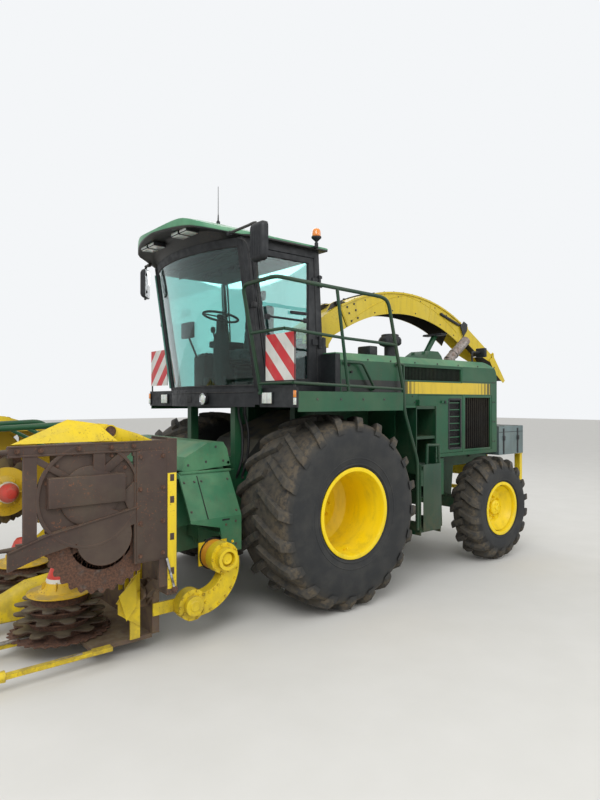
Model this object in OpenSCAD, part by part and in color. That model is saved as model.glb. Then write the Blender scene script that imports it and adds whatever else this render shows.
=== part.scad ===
// Self-propelled forage harvester with a folding four-rotor maize header.
// +X points forward, +Y to the machine's left and +Z up. The origin is on the ground,
// under the middle of the machine; every module below is drawn from the front axle.

/* [Running gear] */
// Distance between the front and rear axles
wheelbase = 2700; // [2650:10:2900]
// Outer radius of a front tyre, over its lugs
front_tyre_r = 915; // [900:5:930]
// Width of a front tyre
front_tyre_w = 770; // [740:5:780]
// Distance between the middles of the front tyres
front_track = 2230; // [2220:5:2260]
// Radius of a front rim where the tyre sits
front_rim_r = 406; // [390:2:420]
// Outer radius of a rear tyre, over its lugs
rear_tyre_r = 635; // [620:5:650]
// Width of a rear tyre
rear_tyre_w = 400; // [380:5:410]
// Distance between the middles of the rear tyres
rear_track = 2280; // [2260:5:2300]
// Radius of a rear rim where the tyre sits
rear_rim_r = 305; // [295:2:315]
// Height of the lugs on the tread
lug_h = 46; // [36:2:52]
// Number of lugs on one side of a front tyre
front_lugs = 20; // [18:1:22]
// Number of lugs on one side of a rear tyre
rear_lugs = 18; // [16:1:20]
// Distance from the middle of the machine to a steering kingpin
kingpin_y = 900; // [890:2:910]

/* [Body] */
// Half width of the engine body
body_half_w = 1100; // [1090:5:1110]
// Underside of the engine body above the ground
body_low = 1310; // [1300:5:1330]
// Top deck above the ground
body_top = 2460; // [2440:5:2480]
// Length of the engine body behind the rear axle
body_overhang = 220; // [200:5:240]
// Thickness of the body panels
panel_t = 25; // [20:1:30]
// Height and width of the sloping edge along the deck
deck_bevel = 80; // [70:5:90]
// Radius of the rounded rear top corner
rear_round = 220; // [200:10:240]

/* [Cab] */
// Half width of the cab
cab_half_w = 880; // [870:2:884]
// Foot of the windscreen ahead of the front axle
cab_front = 680; // [670:5:690]
// Cab floor above the ground
cab_floor = 2050; // [2040:5:2070]
// Height from the cab floor to the underside of the roof
cab_h = 1430; // [1400:5:1450]
// How far the windscreen leans forward at the top
screen_lean = 210; // [190:5:230]
// How far the middle of the windscreen bows forward of its sides
screen_bow = 180; // [150:5:200]
// Thickness of the cab glass
glass_t = 8; // [6:1:10]

/* [Spout] */
// Turret axis behind the front axle
turret_back = 640; // [620:5:660]
// Width of the spout
spout_w = 330; // [310:5:350]
// Depth of the spout's side walls
spout_d = 285; // [270:5:300]
// Thickness of the spout's sheet
spout_t = 12; // [10:1:14]
// Radius of the spout's back
spout_r = 2660; // [2650:5:2680]
// Height of the spout's highest point
spout_z = 3410; // [3400:5:3420]
// Length of the inner flap
flap_len = 760; // [740:5:780]

/* [Header] */
// Rear wall of the header ahead of the front axle
header_x = 1800; // [1795:5:1810]
// Distance from the header's wall to the rotor shafts
rotor_reach = 600; // [595:5:610]
// Radius of a rotor over its teeth
rotor_r = 390; // [385:5:400]
// Distance between neighbouring rotor shafts
rotor_pitch = 1120; // [1115:5:1130]
// Half width of the header when folded
folded_half_w = 1500; // [1495:5:1510]
// Length of the crop points ahead of the rotor shafts
point_reach = 880; // [860:10:900]
// Number of gripping teeth on a rotor tier
rotor_teeth = 10; // [8:1:12]
// Number of saw teeth on a rotor's lowest disc
saw_teeth = 32; // [24:1:36]

/* [Hidden] */
$fn = 48;
// running gap between a pin and its hole
fit = 0.3;
// gap between large parts that swing past each other
clear = 6;
front_y = front_track / 2;
rear_y = rear_track / 2;
rear_x = -wheelbase;
body_rear = rear_x - body_overhang;
body_front = -160;
door_low = body_low + 45;
door_top = door_low + 675;
door_x0 = -2185;
door_x1 = -1358;
roof_z = cab_floor + cab_h;
cab_rear = -140;
screen_w = cab_half_w - 60;
screen_r = (screen_w * screen_w + screen_bow * screen_bow) / (2 * screen_bow);
plat_end = cab_front;
plat_out = 1450;
rail_y = plat_out - 19;
rail_in = cab_half_w + 50;
far = 5000;
wall_in = body_half_w - 100;
wall_out = body_half_w + 100;
side_in = body_half_w + clear;
aerial_h = 700;
turret_x = -turret_back;
rotor_x = header_x + rotor_reach;
rotor_y = rotor_pitch / 2;
fold_y = rotor_pitch;
pan_z = 100;
fold_z = folded_half_w - fold_y + pan_z;
wing_end = fold_y + 1210;
lift_x = 620;
lift_z = 1000;
rod_eye = [1100, 660];
barrel_eye = [300, 620];
spout_c = [-2220, spout_z - spout_r];
spout_a0 = 27;
spout_a1 = 30.5;
spout_end = [spout_c[0] - spout_r * sin(spout_a1), spout_c[1] + spout_r * cos(spout_a1)];
flap_a = 30;
flap_b = 50;
flap2_len = 520;
flap_end = [spout_end[0] - flap_len * cos(flap_a), spout_end[1] - flap_len * sin(flap_a)];
rear_end = flap_end[0] - flap2_len * cos(flap_b) - 20;
front_end = rotor_x + point_reach;
mid_shift = -(front_end + rear_end) / 2;

// shared shapes
module placed() translate([mid_shift, 0, 0]) children();
module both() { children(); mirror([0, 1, 0]) children(); }
module slab(x0, x1, y0, y1, z0, z1) translate([x0, y0, z0]) cube([x1 - x0, y1 - y0, z1 - z0]);
module plate_y(y0, y1) translate([0, y1, 0]) rotate([90, 0, 0]) linear_extrude(y1 - y0) children();
module plate_x(x0, x1) translate([x0, 0, 0]) rotate([90, 0, 90]) linear_extrude(x1 - x0) children();
module plate_z(z0, z1) translate([0, 0, z0]) linear_extrude(z1 - z0) children();
module rod_x(y, z, r, x0, x1) translate([x0, y, z]) rotate([0, 90, 0]) cylinder(r = r, h = x1 - x0);
module rod_y(x, z, r, y0, y1) translate([x, y0, z]) rotate([-90, 0, 0]) cylinder(r = r, h = y1 - y0);
module rod_z(x, y, r, z0, z1) translate([x, y, z0]) cylinder(r = r, h = z1 - z0);
module bar(p, q, r, n = 48) {
    d = q - p;
    l = norm(d);
    translate(p) rotate([0, acos(d[2] / l), atan2(d[1], d[0])]) cylinder(r = r, h = l, $fn = n);
}
// a bent tube: straight pieces that reach a little past each bend
module path(pts, r) {
    n = len(pts) - 1;
    for (i = [0 : n - 1]) {
        u = (pts[i + 1] - pts[i]) / norm(pts[i + 1] - pts[i]);
        bar(pts[i] - u * (i > 0 ? r * 0.45 : 0), pts[i + 1] + u * (i < n - 1 ? r * 0.45 : 0), r - (i % 2) * 1.2, 12);
    }
}
module at_rotor(side, n) translate([rotor_x, side * rotor_y * n, 0]) children();
module folded(side) translate([0, side * fold_y, fold_z]) rotate([side * 90, 0, 0])
    translate([0, -side * fold_y, -fold_z]) children();

// frame, axles and what they carry
module main_frame() color("#2E7350") placed() {
    both() difference() {
        union() {
            slab(-3640, 520, 400, 480, 1090, 1290);
            plate_y(446, 480) polygon([[180, 1100], [180, 760], [-180, 760], [-180, 1100]]);
            plate_y(446, 480) polygon([[420, 1100], [520, 900], [720, 900], [740, 1000], [740, 1290], [420, 1290]]);
            plate_y(400, 480) polygon([[-2560, 1100], [-2600, 740], [-2800, 740], [-2840, 1100]]);
            rod_y(lift_x, lift_z, 34, 398, 446.5);
            slab(600, 690, 400, 480, 1289, 1930);
            slab(body_front + fit, -70, 400, 480, 1289, 1930);
        }
        slab(-3700, -2960, 470, 490, 1080, 1300);
        rod_y(0, front_tyre_r, 110, 400, 500);
    }
    slab(-1250, -1130, -401, 401, 1110, 1270);
    slab(-3600, -3480, -401, 401, 1110, 1270);
    slab(600, 660, -401, 401, 1300, 1400);
}
module front_axle() color("#2E7350") placed() {
    slab(-150, 150, -445, 445, 765, 1065);
    both() {
        rod_y(0, front_tyre_r, 150, 481, 690);
        rod_y(0, front_tyre_r, 232, 690, 846);
        rod_y(0, front_tyre_r, 60, 845, 935);
    }
    both() rod_y(0, front_tyre_r, 110, 444, 482);
    both() {
        for (y = [500, 591]) plate_y(y, y + 24) polygon([[-60, 800], [120, 800], [345, 670],
            [345, 575], [240, 575], [60, 640]]);
        rod_y(barrel_eye[0], barrel_eye[1], 22, 523, 592);
    }
}
module rear_axle() color("#2E7350") placed() difference() {
    union() {
        slab(rear_x - 70, rear_x + 70, -kingpin_y + 155, kingpin_y - 155, 560, 705);
        slab(rear_x - 110, rear_x + 110, -400, 400, 700, 975);
        both() slab(rear_x - 90, rear_x + 90, 396, 486, 690, 740);
        both() for (z = [500, 719]) fork_tab(z);
    }
    both() rod_z(rear_x, kingpin_y, 25 + fit, 490, 780);
}
module fork_tab(z) {
    rod_z(rear_x, kingpin_y, 62, z, z + 51);
    slab(rear_x - 62, rear_x + 62, kingpin_y - 160, kingpin_y, z, z + 51);
    slab(rear_x - 62, rear_x + 62, kingpin_y - 160, kingpin_y - 110, 549, 720);
}
module drive_train() color("#3C4144") placed() {
    difference() {
        plate_y(-390, 390) polygon([[575, 700], [575, 1290], [330, 1560], [-420, 1860], [-420, 1100], [-200, 700]]);
        slab(-200, 200, -400, 400, 690, 1100);
        slab(400, 600, -330, 330, 760, 1180);
    }
    slab(-2650, -1300, -360, 360, 980, 1900);
    both() rod_y(-1500, 1180, 130, 359, 400 - fit);
    slab(-1301, -1250, -250, 250, 1080, 1500);
    rod_x(0, 1345, 70, -1251, -419);
}

// engine body
module body_side(o) {
    polygon([[body_rear + rear_round, 1000], [body_front - o, 1000], [body_front - o, body_top - o],
        [body_rear + rear_round, body_top - o]]);
    polygon([[body_rear + o, 1000], [body_rear + rear_round + 1, 1000],
        [body_rear + rear_round + 1, body_top - rear_round], [body_rear + o, body_top - rear_round]]);
    translate([body_rear + rear_round, body_top - rear_round]) circle(rear_round - o);
}
module body_block(o) {
    w = body_half_w - o;
    b = deck_bevel + o * 0.4;
    intersection() {
        plate_x(body_rear, body_front) polygon([[-w, body_low - o], [w, body_low - o], [w, body_top - b],
            [w - b + o * 0.6, body_top - o], [-w + b - o * 0.6, body_top - o], [-w, body_top - b]]);
        plate_y(-body_half_w, body_half_w) body_side(o);
    }
}
module body_shell() difference() {
    body_block(0);
    difference() {
        body_block(panel_t);
        both() slab(-960 - panel_t, 0, 700 - panel_t, wall_out, 1000, 1885 + panel_t);
    }
    both() slab(-960, 0, 700, wall_out, 1000, 1885);
    slab(-2000, 0, -398, 398, 1000, 1920);
    both() slab(-4000, 0, 400 - fit, 480 + fit, 1000, 1290 + fit);
}
grille_x0 = -2810;
grille_x1 = -2215;
band_x0 = -2180;
band_x1 = -1070;
band_z0 = body_top - 280;
band_z1 = body_top - 95;
module body_panels() color("#2E7350") placed() {
    difference() {
        intersection() {
            body_shell();
            slab(-far, 0, -far, far, body_low, body_top - deck_bevel);
        }
        both() {
            slab(door_x0 - 5, door_x1 + 6, wall_in, wall_out, door_low - 5, door_top + 5);
            slab(grille_x0, grille_x1, wall_in, wall_out, door_low - 5, door_top + 5);
            slab(band_x0, band_x1, wall_in, wall_out, band_z0, band_z1);
        }
        slab(body_rear - 10, body_rear + 100, -820, 820, 1450, 2150);
    }
    both() for (z = [1440, 1860]) {
        slab(door_x1 + 26, door_x1 + 40, body_half_w - 1, body_half_w + 10, z, z + 120);
        rod_z(door_x1 + 6, body_half_w + 18, 8, z + 1, z + 119);
        for (a = [0, 93]) {
            rod_z(door_x1 + 6, body_half_w + 18, 16, z + a, z + a + 27);
            slab(door_x1 + 6, door_x1 + 40, body_half_w + 2, body_half_w + 10, z + a, z + a + 27);
        }
    }
}
module deck() color("#7FB38A") placed() difference() {
    intersection() {
        body_shell();
        slab(-far, 0, -far, far, body_top - deck_bevel + 0.2, far);
    }
    translate([turret_x, 0, 2300]) cylinder(r = 236, h = 300);
    slab(-2050, -1450, -450, 450, 2300, 2600);
}
module side_grilles() color("#5B5550") placed() {
    both() {
        difference() {
            slab(grille_x0 + 0.3, grille_x1 - 0.3, body_half_w - 28, body_half_w - 4, door_low - 4.7, door_top + 4.7);
            slab(grille_x0 + 30, grille_x1 - 30, wall_in, wall_out, door_low + 26, door_top - 26);
        }
        for (i = [0 : 12]) translate([grille_x0 + 50 + i * 40.5, body_half_w - 16, door_low + 25.5])
            rotate([0, 0, 35]) slab(-16, 16, -3, 3, 0, door_top - door_low - 51);
        difference() {
            slab(band_x0 + 0.3, band_x1 - 0.3, body_half_w - 26, body_half_w - 6, band_z0 + 0.3, band_z1 - 0.3);
            slab(band_x0 + 20, band_x1 - 20, wall_in, wall_out, band_z0 + 15, band_z1 - 15);
        }
        for (i = [0 : 5]) translate([0, body_half_w - 16, band_z0 + 28 + i * 26]) rotate([35, 0, 0])
            slab(band_x0 + 19, band_x1 - 19, -11, 11, -2.5, 2.5);
    }
    difference() {
        slab(body_rear + 2, body_rear + 24, -819.7, 819.7, 1450.3, 2149.7);
        for (s = [-1, 0, 1]) slab(body_rear - 10, body_rear + 40, s * 540 - 250, s * 540 + 250, 1480, 2120);
    }
    for (s = [-1, 0, 1]) for (i = [0 : 14]) translate([body_rear + 13, s * 540, 1500 + i * 43])
        rotate([0, 35, 0]) slab(-14, 14, -251, 251, -3, 3);
}
module side_door() {
    difference() {
        slab(door_x0, door_x1, body_half_w - 24, body_half_w, door_low, door_top);
        slab(door_x0 + 40, door_x1 - 60, body_half_w - 30, body_half_w - 6, door_low + 40, door_top - 40);
        slab(door_x0 + 35, door_x0 + 270, body_half_w - 30, body_half_w + 10, door_low + 45, door_top - 45);
    }
    for (i = [0 : 6]) slab(door_x0 + 34, door_x0 + 271, body_half_w - 14, body_half_w - 8,
        door_low + 90 + i * 82, door_low + 102 + i * 82);
    for (z = [1440, 1860]) difference() {
        union() {
            slab(door_x1 - 40, door_x1 + 6, body_half_w - 0.5, body_half_w + 10, z + 30, z + 90);
            rod_z(door_x1 + 6, body_half_w + 18, 16, z + 30, z + 90);
        }
        rod_z(door_x1 + 6, body_half_w + 18, 8 + fit, z, z + 120);
    }
    slab(door_x0 + 300, door_x0 + 420, body_half_w - 1, body_half_w + 16, door_top - 90, door_top - 62);
}
module side_door_left() color("#2E7350") placed() side_door();
module side_door_right() color("#2E7350") placed() mirror([0, 1, 0]) side_door();

// platforms, rails and steps
module platform() color("#2E7350") placed() both() {
    difference() {
        union() {
            slab(-700, plat_end - 14, cab_half_w + 8, plat_out, cab_floor - 20, cab_floor);
            slab(-700, plat_end - 14, plat_out - 12, plat_out, cab_floor - 180, cab_floor - 19);
            slab(-700, -688, side_in, plat_out, cab_floor - 180, cab_floor - 19);
        }
        slab(-900, body_front + 6, 800, side_in, 1800, 2100);
    }
    for (x = [-500, 100, 600]) slab(x, x + 40, cab_half_w + 10 + (x < 0 ? side_in - 890 : 0), plat_out - 11,
        cab_floor - 60, cab_floor - 19);
    slab(-955, -700, side_in, 1400, 1895, 1915);
}
// a point in the leaning plane of the front rail
function lean_x(z) = plat_end + 18 + (z - cab_floor) * 0.208;
function lean_at(y, z) = [lean_x(z), y, z];
module handrails() color("#2E7350") placed() {
    y = rail_y;
    path([lean_at(rail_in, cab_floor), lean_at(rail_in, 3019), lean_at(y, 3024), [420, y, 3010], [-410, y, 2990],
        [-500, y, 2950], [-600, y, 2550], [-722, y, 2090], [-738, y, 1860], [-955, 1425, 1330], [-955, 1425, 620]], 18);
    path([lean_at(rail_in, 2588), lean_at(y, 2588), [100, y, 2550], [-590, y, 2530]], 15);
    path([lean_at(rail_in, 2125), lean_at(y, 2125), [-705, y, 2085]], 14);
    bar([195, y, 3000], [45, y, cab_floor + 3], 16.5, 12);
    slab(plat_end, plat_end + 38, rail_in - 20, rail_in + 20, cab_floor - 26, cab_floor + 1);
    path([[-210, body_half_w, 2350], [-210, 1150, 2350], [-420, 1150, 2350], [-600, 1150, 2090], [-600, body_half_w, 2090]], 14);
    path([[-990, body_half_w, 2400 - 40], [-990, 1160, 2360], [-1040, 1160, 2360], [-1040, 1160, 1960],
        [-1040, body_half_w, 1960]], 14);
}
module ladder() color("#1C4A32") placed() {
    difference() {
        union() {
            slab(-985, -973, side_in, 1446, 560, 1300);
            slab(-1312, -1300, side_in, 1446, 560, 1300);
        }
        for (z = [700, 1020]) slab(-1400, -900, 1180, 1380, z, z + 180);
    }
    for (z = [590, 915, 1240]) difference() {
        slab(-1301, -984, 1180, 1446, z, z + 40);
        slab(-1290, -995, 1192, 1434, z + 8, z + 60);
    }
    for (z = [1560, 1880]) slab(-1301, -984, body_half_w + 0.3, 1380, z, z + 30);
    for (x = [-1312, -985]) slab(x, x + 12, body_half_w + 0.3, 1390, 1299, 1911);
    slab(-1312, -973, wall_in, side_in + 1, 1240, 1300);
    path([[-1090, 1432, 1240], [-1100, 1432, 1500], [-1290, 1432, 1490], [-1330, 1432, 620]], 16);
}
module fuel_tank() color("#2E7350") placed() {
    difference() {
        slab(-1880, -1010, -1070, -520, 800, 1290);
        slab(-1890, -1000, -1100, -1010, 780, 860);
    }
    for (x = [-1200, -1600]) slab(x, x + 60, -1082, -480, 1080, 1140);
    rod_z(-1120, -1000, 55, 1289, 1308);
    slab(-1870, -1390, 520, 1060, 860, 1290);
    for (x = [-1500, -1760]) slab(x, x + 60, 480, 1068, 1080, 1140);
}

// cab
cab_side = [[cab_rear, cab_floor], [cab_front, cab_floor], [cab_front + screen_lean, roof_z], [-60, roof_z]];
cab_hole = [[-60, cab_floor + 70], [600, cab_floor + 70], [790, roof_z - 70], [0, roof_z - 70]];
door_outer = [[-52, cab_floor + 78], [592, cab_floor + 78], [780, roof_z - 78], [8, roof_z - 78]];
door_inner = [[72, cab_floor + 130], [540, cab_floor + 130], [718, roof_z - 128], [72, roof_z - 128]];
hinge_x = -62;
hinge_y = cab_half_w + 15;
// everything behind the bowed windscreen: an upright drum, leaning as the screen does
module screen(o) translate([cab_front, 0, cab_floor]) rotate([0, atan(screen_lean / cab_h), 0])
    translate([screen_bow - screen_r, 0, -400]) cylinder(r = screen_r + o, h = 2400, $fn = 360);
module console(o, z0, z1) intersection() {
    translate([cab_front + screen_bow - screen_r, 0, z0]) cylinder(r = screen_r + o, h = z1 - z0, $fn = 360);
    slab(cab_front - 80, far, -cab_half_w, cab_half_w, z0, z1);
}
module cab_base() color("#1C2028") placed() {
    slab(cab_rear, cab_front - 79, -850, 850, cab_floor - 120, cab_floor);
    console(26, cab_floor - 120, cab_floor);
    intersection() {
        console(26, cab_floor - 142, cab_floor - 119);
        slab(cab_front + 20, far, -far, far, 0, far);
    }
    difference() {
        console(26, cab_floor - 1, cab_floor + 34);
        screen(1);
        slab(0, cab_front + 8, -far, far, 0, far);
    }
    both() slab(plat_end - 13, plat_end, cab_half_w + 8, plat_out, cab_floor - 142, cab_floor + 34);
    both() slab(plat_end - 80, plat_end - 12, cab_half_w - 31, cab_half_w + 9, cab_floor - 100, cab_floor - 21);
    both() slab(cab_rear - 15, cab_rear + 50, cab_half_w, body_half_w, cab_floor, cab_floor + 390);
}
module cab_frame() color("#1C2028") placed() {
    w = cab_half_w;
    both() difference() {
        plate_y(w - 60, w) polygon(cab_side);
        plate_y(w - 70, w + 10) polygon(cab_hole);
    }
    for (z = [[cab_floor, cab_floor + 60.3, 66], [roof_z - 75, roof_z, 90]]) intersection() {
        difference() { screen(0); screen(-z[2]); }
        slab(cab_front - 80, far, 60 - w, w - 60, z[0], z[1]);
    }
    slab(-60, 0, 60 - w, w - 60, roof_z - 75, roof_z);
    plate_y(60 - w, w - 60) polygon([[cab_rear, cab_floor], [cab_rear + 30, cab_floor],
        [cab_rear + 60, cab_floor + 520], [cab_rear + 30, cab_floor + 520]]);
    for (z = [2500, 3120]) {
        rod_z(hinge_x, hinge_y, 8, z + 1, z + 119);
        for (a = [0, 93]) {
            rod_z(hinge_x, hinge_y, 14, z + a, z + a + 27);
            slab(hinge_x - 40, hinge_x, w - 0.5, w + 8, z + a, z + a + 27);
        }
    }
}
module cab_roof() color("#7FB38A") placed() {
    rod_z(690, 165, 20, roof_z + 300, roof_z + 366);
    rod_z(690, 165, 5, roof_z + 365, roof_z + aerial_h);
    roof_shell();
}
// thin at the sides and arched over the lamps in front; each table holds [x or y, height over roof_z]
roof_top = [[-125, 30], [-110, 75], [-20, 170], [160, 250], [440, 305], [760, 325], [1020, 300], [1240, 225], [1345, 160]];
roof_arch = [[950, 34], [875, 54], [780, 84], [560, 162], [420, 218], [220, 290]];
roof_lip = [[905, -1], [780, 40], [560, 95], [0, 132]];
lip_r = 1530;
corner = [[800, -950], [1170, -700]];
module roof_shell() difference() {
    intersection() {
        plate_y(-950, 950) polygon(concat([[1400, roof_z], [-125, roof_z]], [for (p = roof_top) [p[0], roof_z + p[1]]],
            [[1400, roof_z + 140]]));
        plate_x(-200, 1400) polygon(concat([[-950, roof_z]], [for (p = roof_arch) [-p[0], roof_z + p[1]]], [[0, roof_z + 330]],
            [for (i = [5 : -1 : 0]) [roof_arch[i][0], roof_z + roof_arch[i][1]]], [[950, roof_z]]));
        intersection() {
            translate([cab_front + screen_lean + 455 - lip_r, 0, roof_z - 1]) cylinder(r = lip_r, h = 500, $fn = 360);
            plate_z(roof_z - 1, roof_z + 500) polygon([[-180, -950], corner[0], corner[1], [corner[1][0] + 250, -640],
                [corner[1][0] + 250, 640], [corner[1][0], -corner[1][1]], [corner[0][0], 950], [-180, 950]]);
        }
    }
    slab(60, 780, -760, 760, roof_z - 10, roof_z + 40);
    difference() {
        plate_x(900, 1500) polygon(concat([[-905, roof_z - 5]], [for (i = [0 : 3]) [-roof_lip[i][0], roof_z + roof_lip[i][1]]],
            [for (i = [2 : -1 : 0]) [roof_lip[i][0], roof_z + roof_lip[i][1]]], [[905, roof_z - 5]]));
        screen(12);
    }
}
module pane(y, pts) plate_y(y - glass_t / 2, y + glass_t / 2) polygon(pts);
module cab_glass() color("#78CFC4") placed() {
    w = cab_half_w - 60.3;
    intersection() {
        difference() { screen(-4); screen(-4 - glass_t); }
        slab(cab_front - 80, far, -w, w, cab_floor + 60.6, roof_z - 75.3);
    }
    plate_y(-w, w) polygon([[-95, cab_floor + 520.3], [-87, cab_floor + 520.3], [-22, roof_z - 75.3],
        [-30, roof_z - 75.3]]);
    pane(30 - cab_half_w, [[-59, cab_floor + 70.5], [599, cab_floor + 70.5], [789, roof_z - 70.5],
        [1, roof_z - 70.5]]);
}
module cab_door() color("#1C2028") placed() {
    difference() {
        plate_y(cab_half_w - 40, cab_half_w) polygon(door_outer);
        plate_y(cab_half_w - 50, cab_half_w + 10) polygon(door_inner);
    }
    for (z = [2500, 3120]) difference() {
        union() {
            slab(hinge_x, hinge_x + 92, cab_half_w + 5, cab_half_w + 12, z + 32, z + 88);
            slab(hinge_x + 68, hinge_x + 92, cab_half_w - 0.5, cab_half_w + 6, z + 32, z + 88);
            rod_z(hinge_x, hinge_y, 14, z + 32, z + 88);
        }
        rod_z(hinge_x, hinge_y, 8 + fit, z, z + 120);
    }
    slab(548, 590, cab_half_w, cab_half_w + 26, 2290, 2470);
}
module door_glass() color("#78CFC4") placed()
    plate_y(cab_half_w - 24, cab_half_w - 16) polygon([[72.4, cab_floor + 130.4], [539.6, cab_floor + 130.4],
        [717.6, roof_z - 128.4], [72.4, roof_z - 128.4]]);
module cab_interior() color("#2A2D30") placed() {
    rod_z(210, 0, 120, cab_floor, 2380);
    slab(30, 470, -250, 250, 2380, 2500);
    plate_y(-235, 235) polygon([[40, 2500], [140, 2500], [105, 3010], [60, 3050], [5, 3010]]);
    plate_y(-120, 120) polygon([[20, 3060], [88, 3060], [76, 3210], [28, 3210]]);
    rod_z(55, 0, 12, 3040, 3070);
    slab(60, 450, -430, -270, 2560, 2640);
    slab(190, 320, -420, -300, cab_floor, 2561);
    rod_z(545, 0, 55, cab_floor, 2080);
    bar([545, 0, 2070], [556, 0, 2850], 36);
    translate([556, 0, 2862]) rotate([0, -12, 0]) {
        rotate_extrude() translate([185, 0]) circle(15);
        for (a = [90, 210, 330]) rotate([0, 0, a]) slab(0, 186, -14, 14, -8, 4);
        cylinder(r = 45, h = 44, center = true);
    }
}
// arm from the roof's front corner, and a housing open at its back
module mirror_arm(x, y, a) {
    translate([985, 825, roof_z + 2]) rotate([0, 0, atan2(corner[0][1] - corner[1][1], corner[1][0] - corner[0][0])])
        slab(-30, 30, 0, 8, 0, 30);
    bar([988, 834, roof_z + 18], [x, y, roof_z + 18], 14);
    bar([x, y, roof_z + 25], [x, y, 3120], 13);
    translate([x, y, 0]) rotate([0, 0, a]) difference() {
        slab(-15, 50, -55, 155, 3150, 3480);
        slab(-25, -7, -43, 143, 3162, 3468);
    }
}
module mirrors() color("#1C2028") placed() {
    mirror_arm(1000, 1290, 0);
    mirror([0, 1, 0]) mirror_arm(970, 965, 40);
}
module warning_boards() color("#C8202A") placed() both() {
    slab(plat_end - 4, plat_end + 4, 988, 1410, cab_floor + 100, cab_floor + 523);
    slab(plat_end - 13, plat_end - 4, 1392, 1415, cab_floor + 34, cab_floor + 523);
}
module lamps() color("#1C2028") placed() {
    lens_back = cab_front + screen_bow + 26 + fit - pow(240 - 62, 2) / (2 * screen_r);
    rod_x(240, cab_floor - 66, 62, lens_back, lens_back + 42);
    both() {
        slab(plat_end, plat_end + 26, 951, 1106, cab_floor - 114, cab_floor - 3);
        slab(plat_end, plat_end + 20, plat_out - 38, plat_out, cab_floor - 122, cab_floor + 9);
        for (y = [190, 350]) slab(1100, 1240, y, y + 140, roof_z + 70, roof_z + 131.7 - 37 * (y + 140) / 560);
        slab(-2918, -2860, 820, 960, 2540, 2660);
        slab(-2698, -2678, 860, 920, body_top, 2640);
        slab(-2861, -2697, 860, 920, 2590, 2610);
        slab(body_rear - 40, body_rear, 900, 1040, 1700, 1990);
    }
    slab(40, 80, 950, 985, roof_z + 4, roof_z + 24);
    rod_z(60, 985, 20, roof_z + 4, roof_z + 100);
    rod_z(60, 985, 50, roof_z + 100, roof_z + 115);
    rod_z(60, 985, 44, roof_z + 115, roof_z + 200);
}
module deck_fittings() color("#2A2D30") placed() {
    rod_z(-1330, 700, 70, body_top, 2640);
    rod_z(-1330, 700, 130, 2620, 2700);
    rod_z(-1330, 700, 105, 2699, 2745);
    slab(-1060, -930, 560, 760, body_top, 2590);
    rod_z(-2600, 600, 75, body_top, 2540);
    bar([-2600, 600, 2525], [-2960, 600, 2790], 60);
    difference() {
        slab(-2740, -2690, -110, 110, body_top, 2480);
        slab(-2800, -2600, -60, 60, 2400, 2470);
    }
    plate_y(-30, 30) polygon([[-2690, 2480], [-2740, 2480], [-3080, 2890], [-3080, 2925], [-3040, 2925]]);
    slab(-3110, -2990, -170, 170, 2905, 2930);
    slab(-2060, -1440, -460, 460, body_top, body_top + 18);
}
module rear_box() color("#66787A") placed() {
    both() slab(-3700, -3110, 520, 1010, 1250, 1630);
    slab(-3690, -3120, -490, 490, 1290 + fit, 1560);
    both() slab(-3500, -3300, 485, 521, 1296, 1420);
}
module hitch() color("#E8C414") placed() {
    both() {
        slab(-3762, -3702, 880, 960, 610, 1260);
        slab(-3762, -3640, 870, 970, 1236, 1250);
    }
    rod_y(-3732, 660, 30, -881, 881);
    both() for (z = [940]) rod_y(-3732, z, 24, -881, 881);
    difference() {
        slab(-3730, -3640, -110, 110, 880, 1289);
        slab(-3800, -3655, -100, 100, 800, 1250);
    }
    for (z = [1010, 1100]) difference() {
        union() { slab(-3800, -3654, -60, 60, z, z + 26); rod_z(-3800, 0, 60, z, z + 26); }
        rod_z(-3800, 0, 16.5, z - 5, z + 31);
    }
    slab(-3656, -3640, -130, 130, 870, 1289);
    slab(-3655, -3640, -480, 480, 1095, 1285);
}

// turret, spout and its flaps
function arc(r, a) = [spout_c[0] + r * sin(a), spout_c[1] + r * cos(a)];
spout_in = spout_r - spout_d;
module turret() color("#D9BE3A") placed() {
    difference() {
        union() {
            translate([turret_x, 0, 2400]) cylinder(r = 222, h = 220);
            translate([turret_x, 0, body_top + fit]) cylinder(r = 262, h = 40);
        }
        translate([turret_x, 0, 2300]) cylinder(r = 205, h = 400);
    }
    difference() {
        plate_y(-spout_w / 2, spout_w / 2) polygon([[turret_x + 200, 2600], [turret_x + 192, 2690],
            [turret_x + 120, 2830], arc(spout_r, 33), arc(spout_r, spout_a0 + 0.2),
            arc(spout_in, spout_a0 + 0.2), [turret_x - 290, 2760], [turret_x - 205, 2640], [turret_x - 200, 2600]]);
        plate_y(spout_t - spout_w / 2, spout_w / 2 - spout_t) polygon([[turret_x + 185, 2590],
            [turret_x + 178, 2690], [turret_x + 108, 2820], arc(spout_r - 14, 33), arc(spout_r - 14, spout_a0 - 3),
            arc(spout_in + 14, spout_a0 - 3), [turret_x - 282, 2772], [turret_x - 190, 2648], [turret_x - 186, 2590]]);
    }
    t = arc(spout_r, spout_a0);
    for (s = [-1, 1]) plate_y(s * 100 - 12, s * 100 + 12) polygon([t + [0, -2], t + [150, -72], t + [90, 20],
        t + [16, 58], t + [-16, 58], t + [-16, 30]]);
    rod_y(t[0], t[1] + 36, 12, -145, 145);
}
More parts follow.
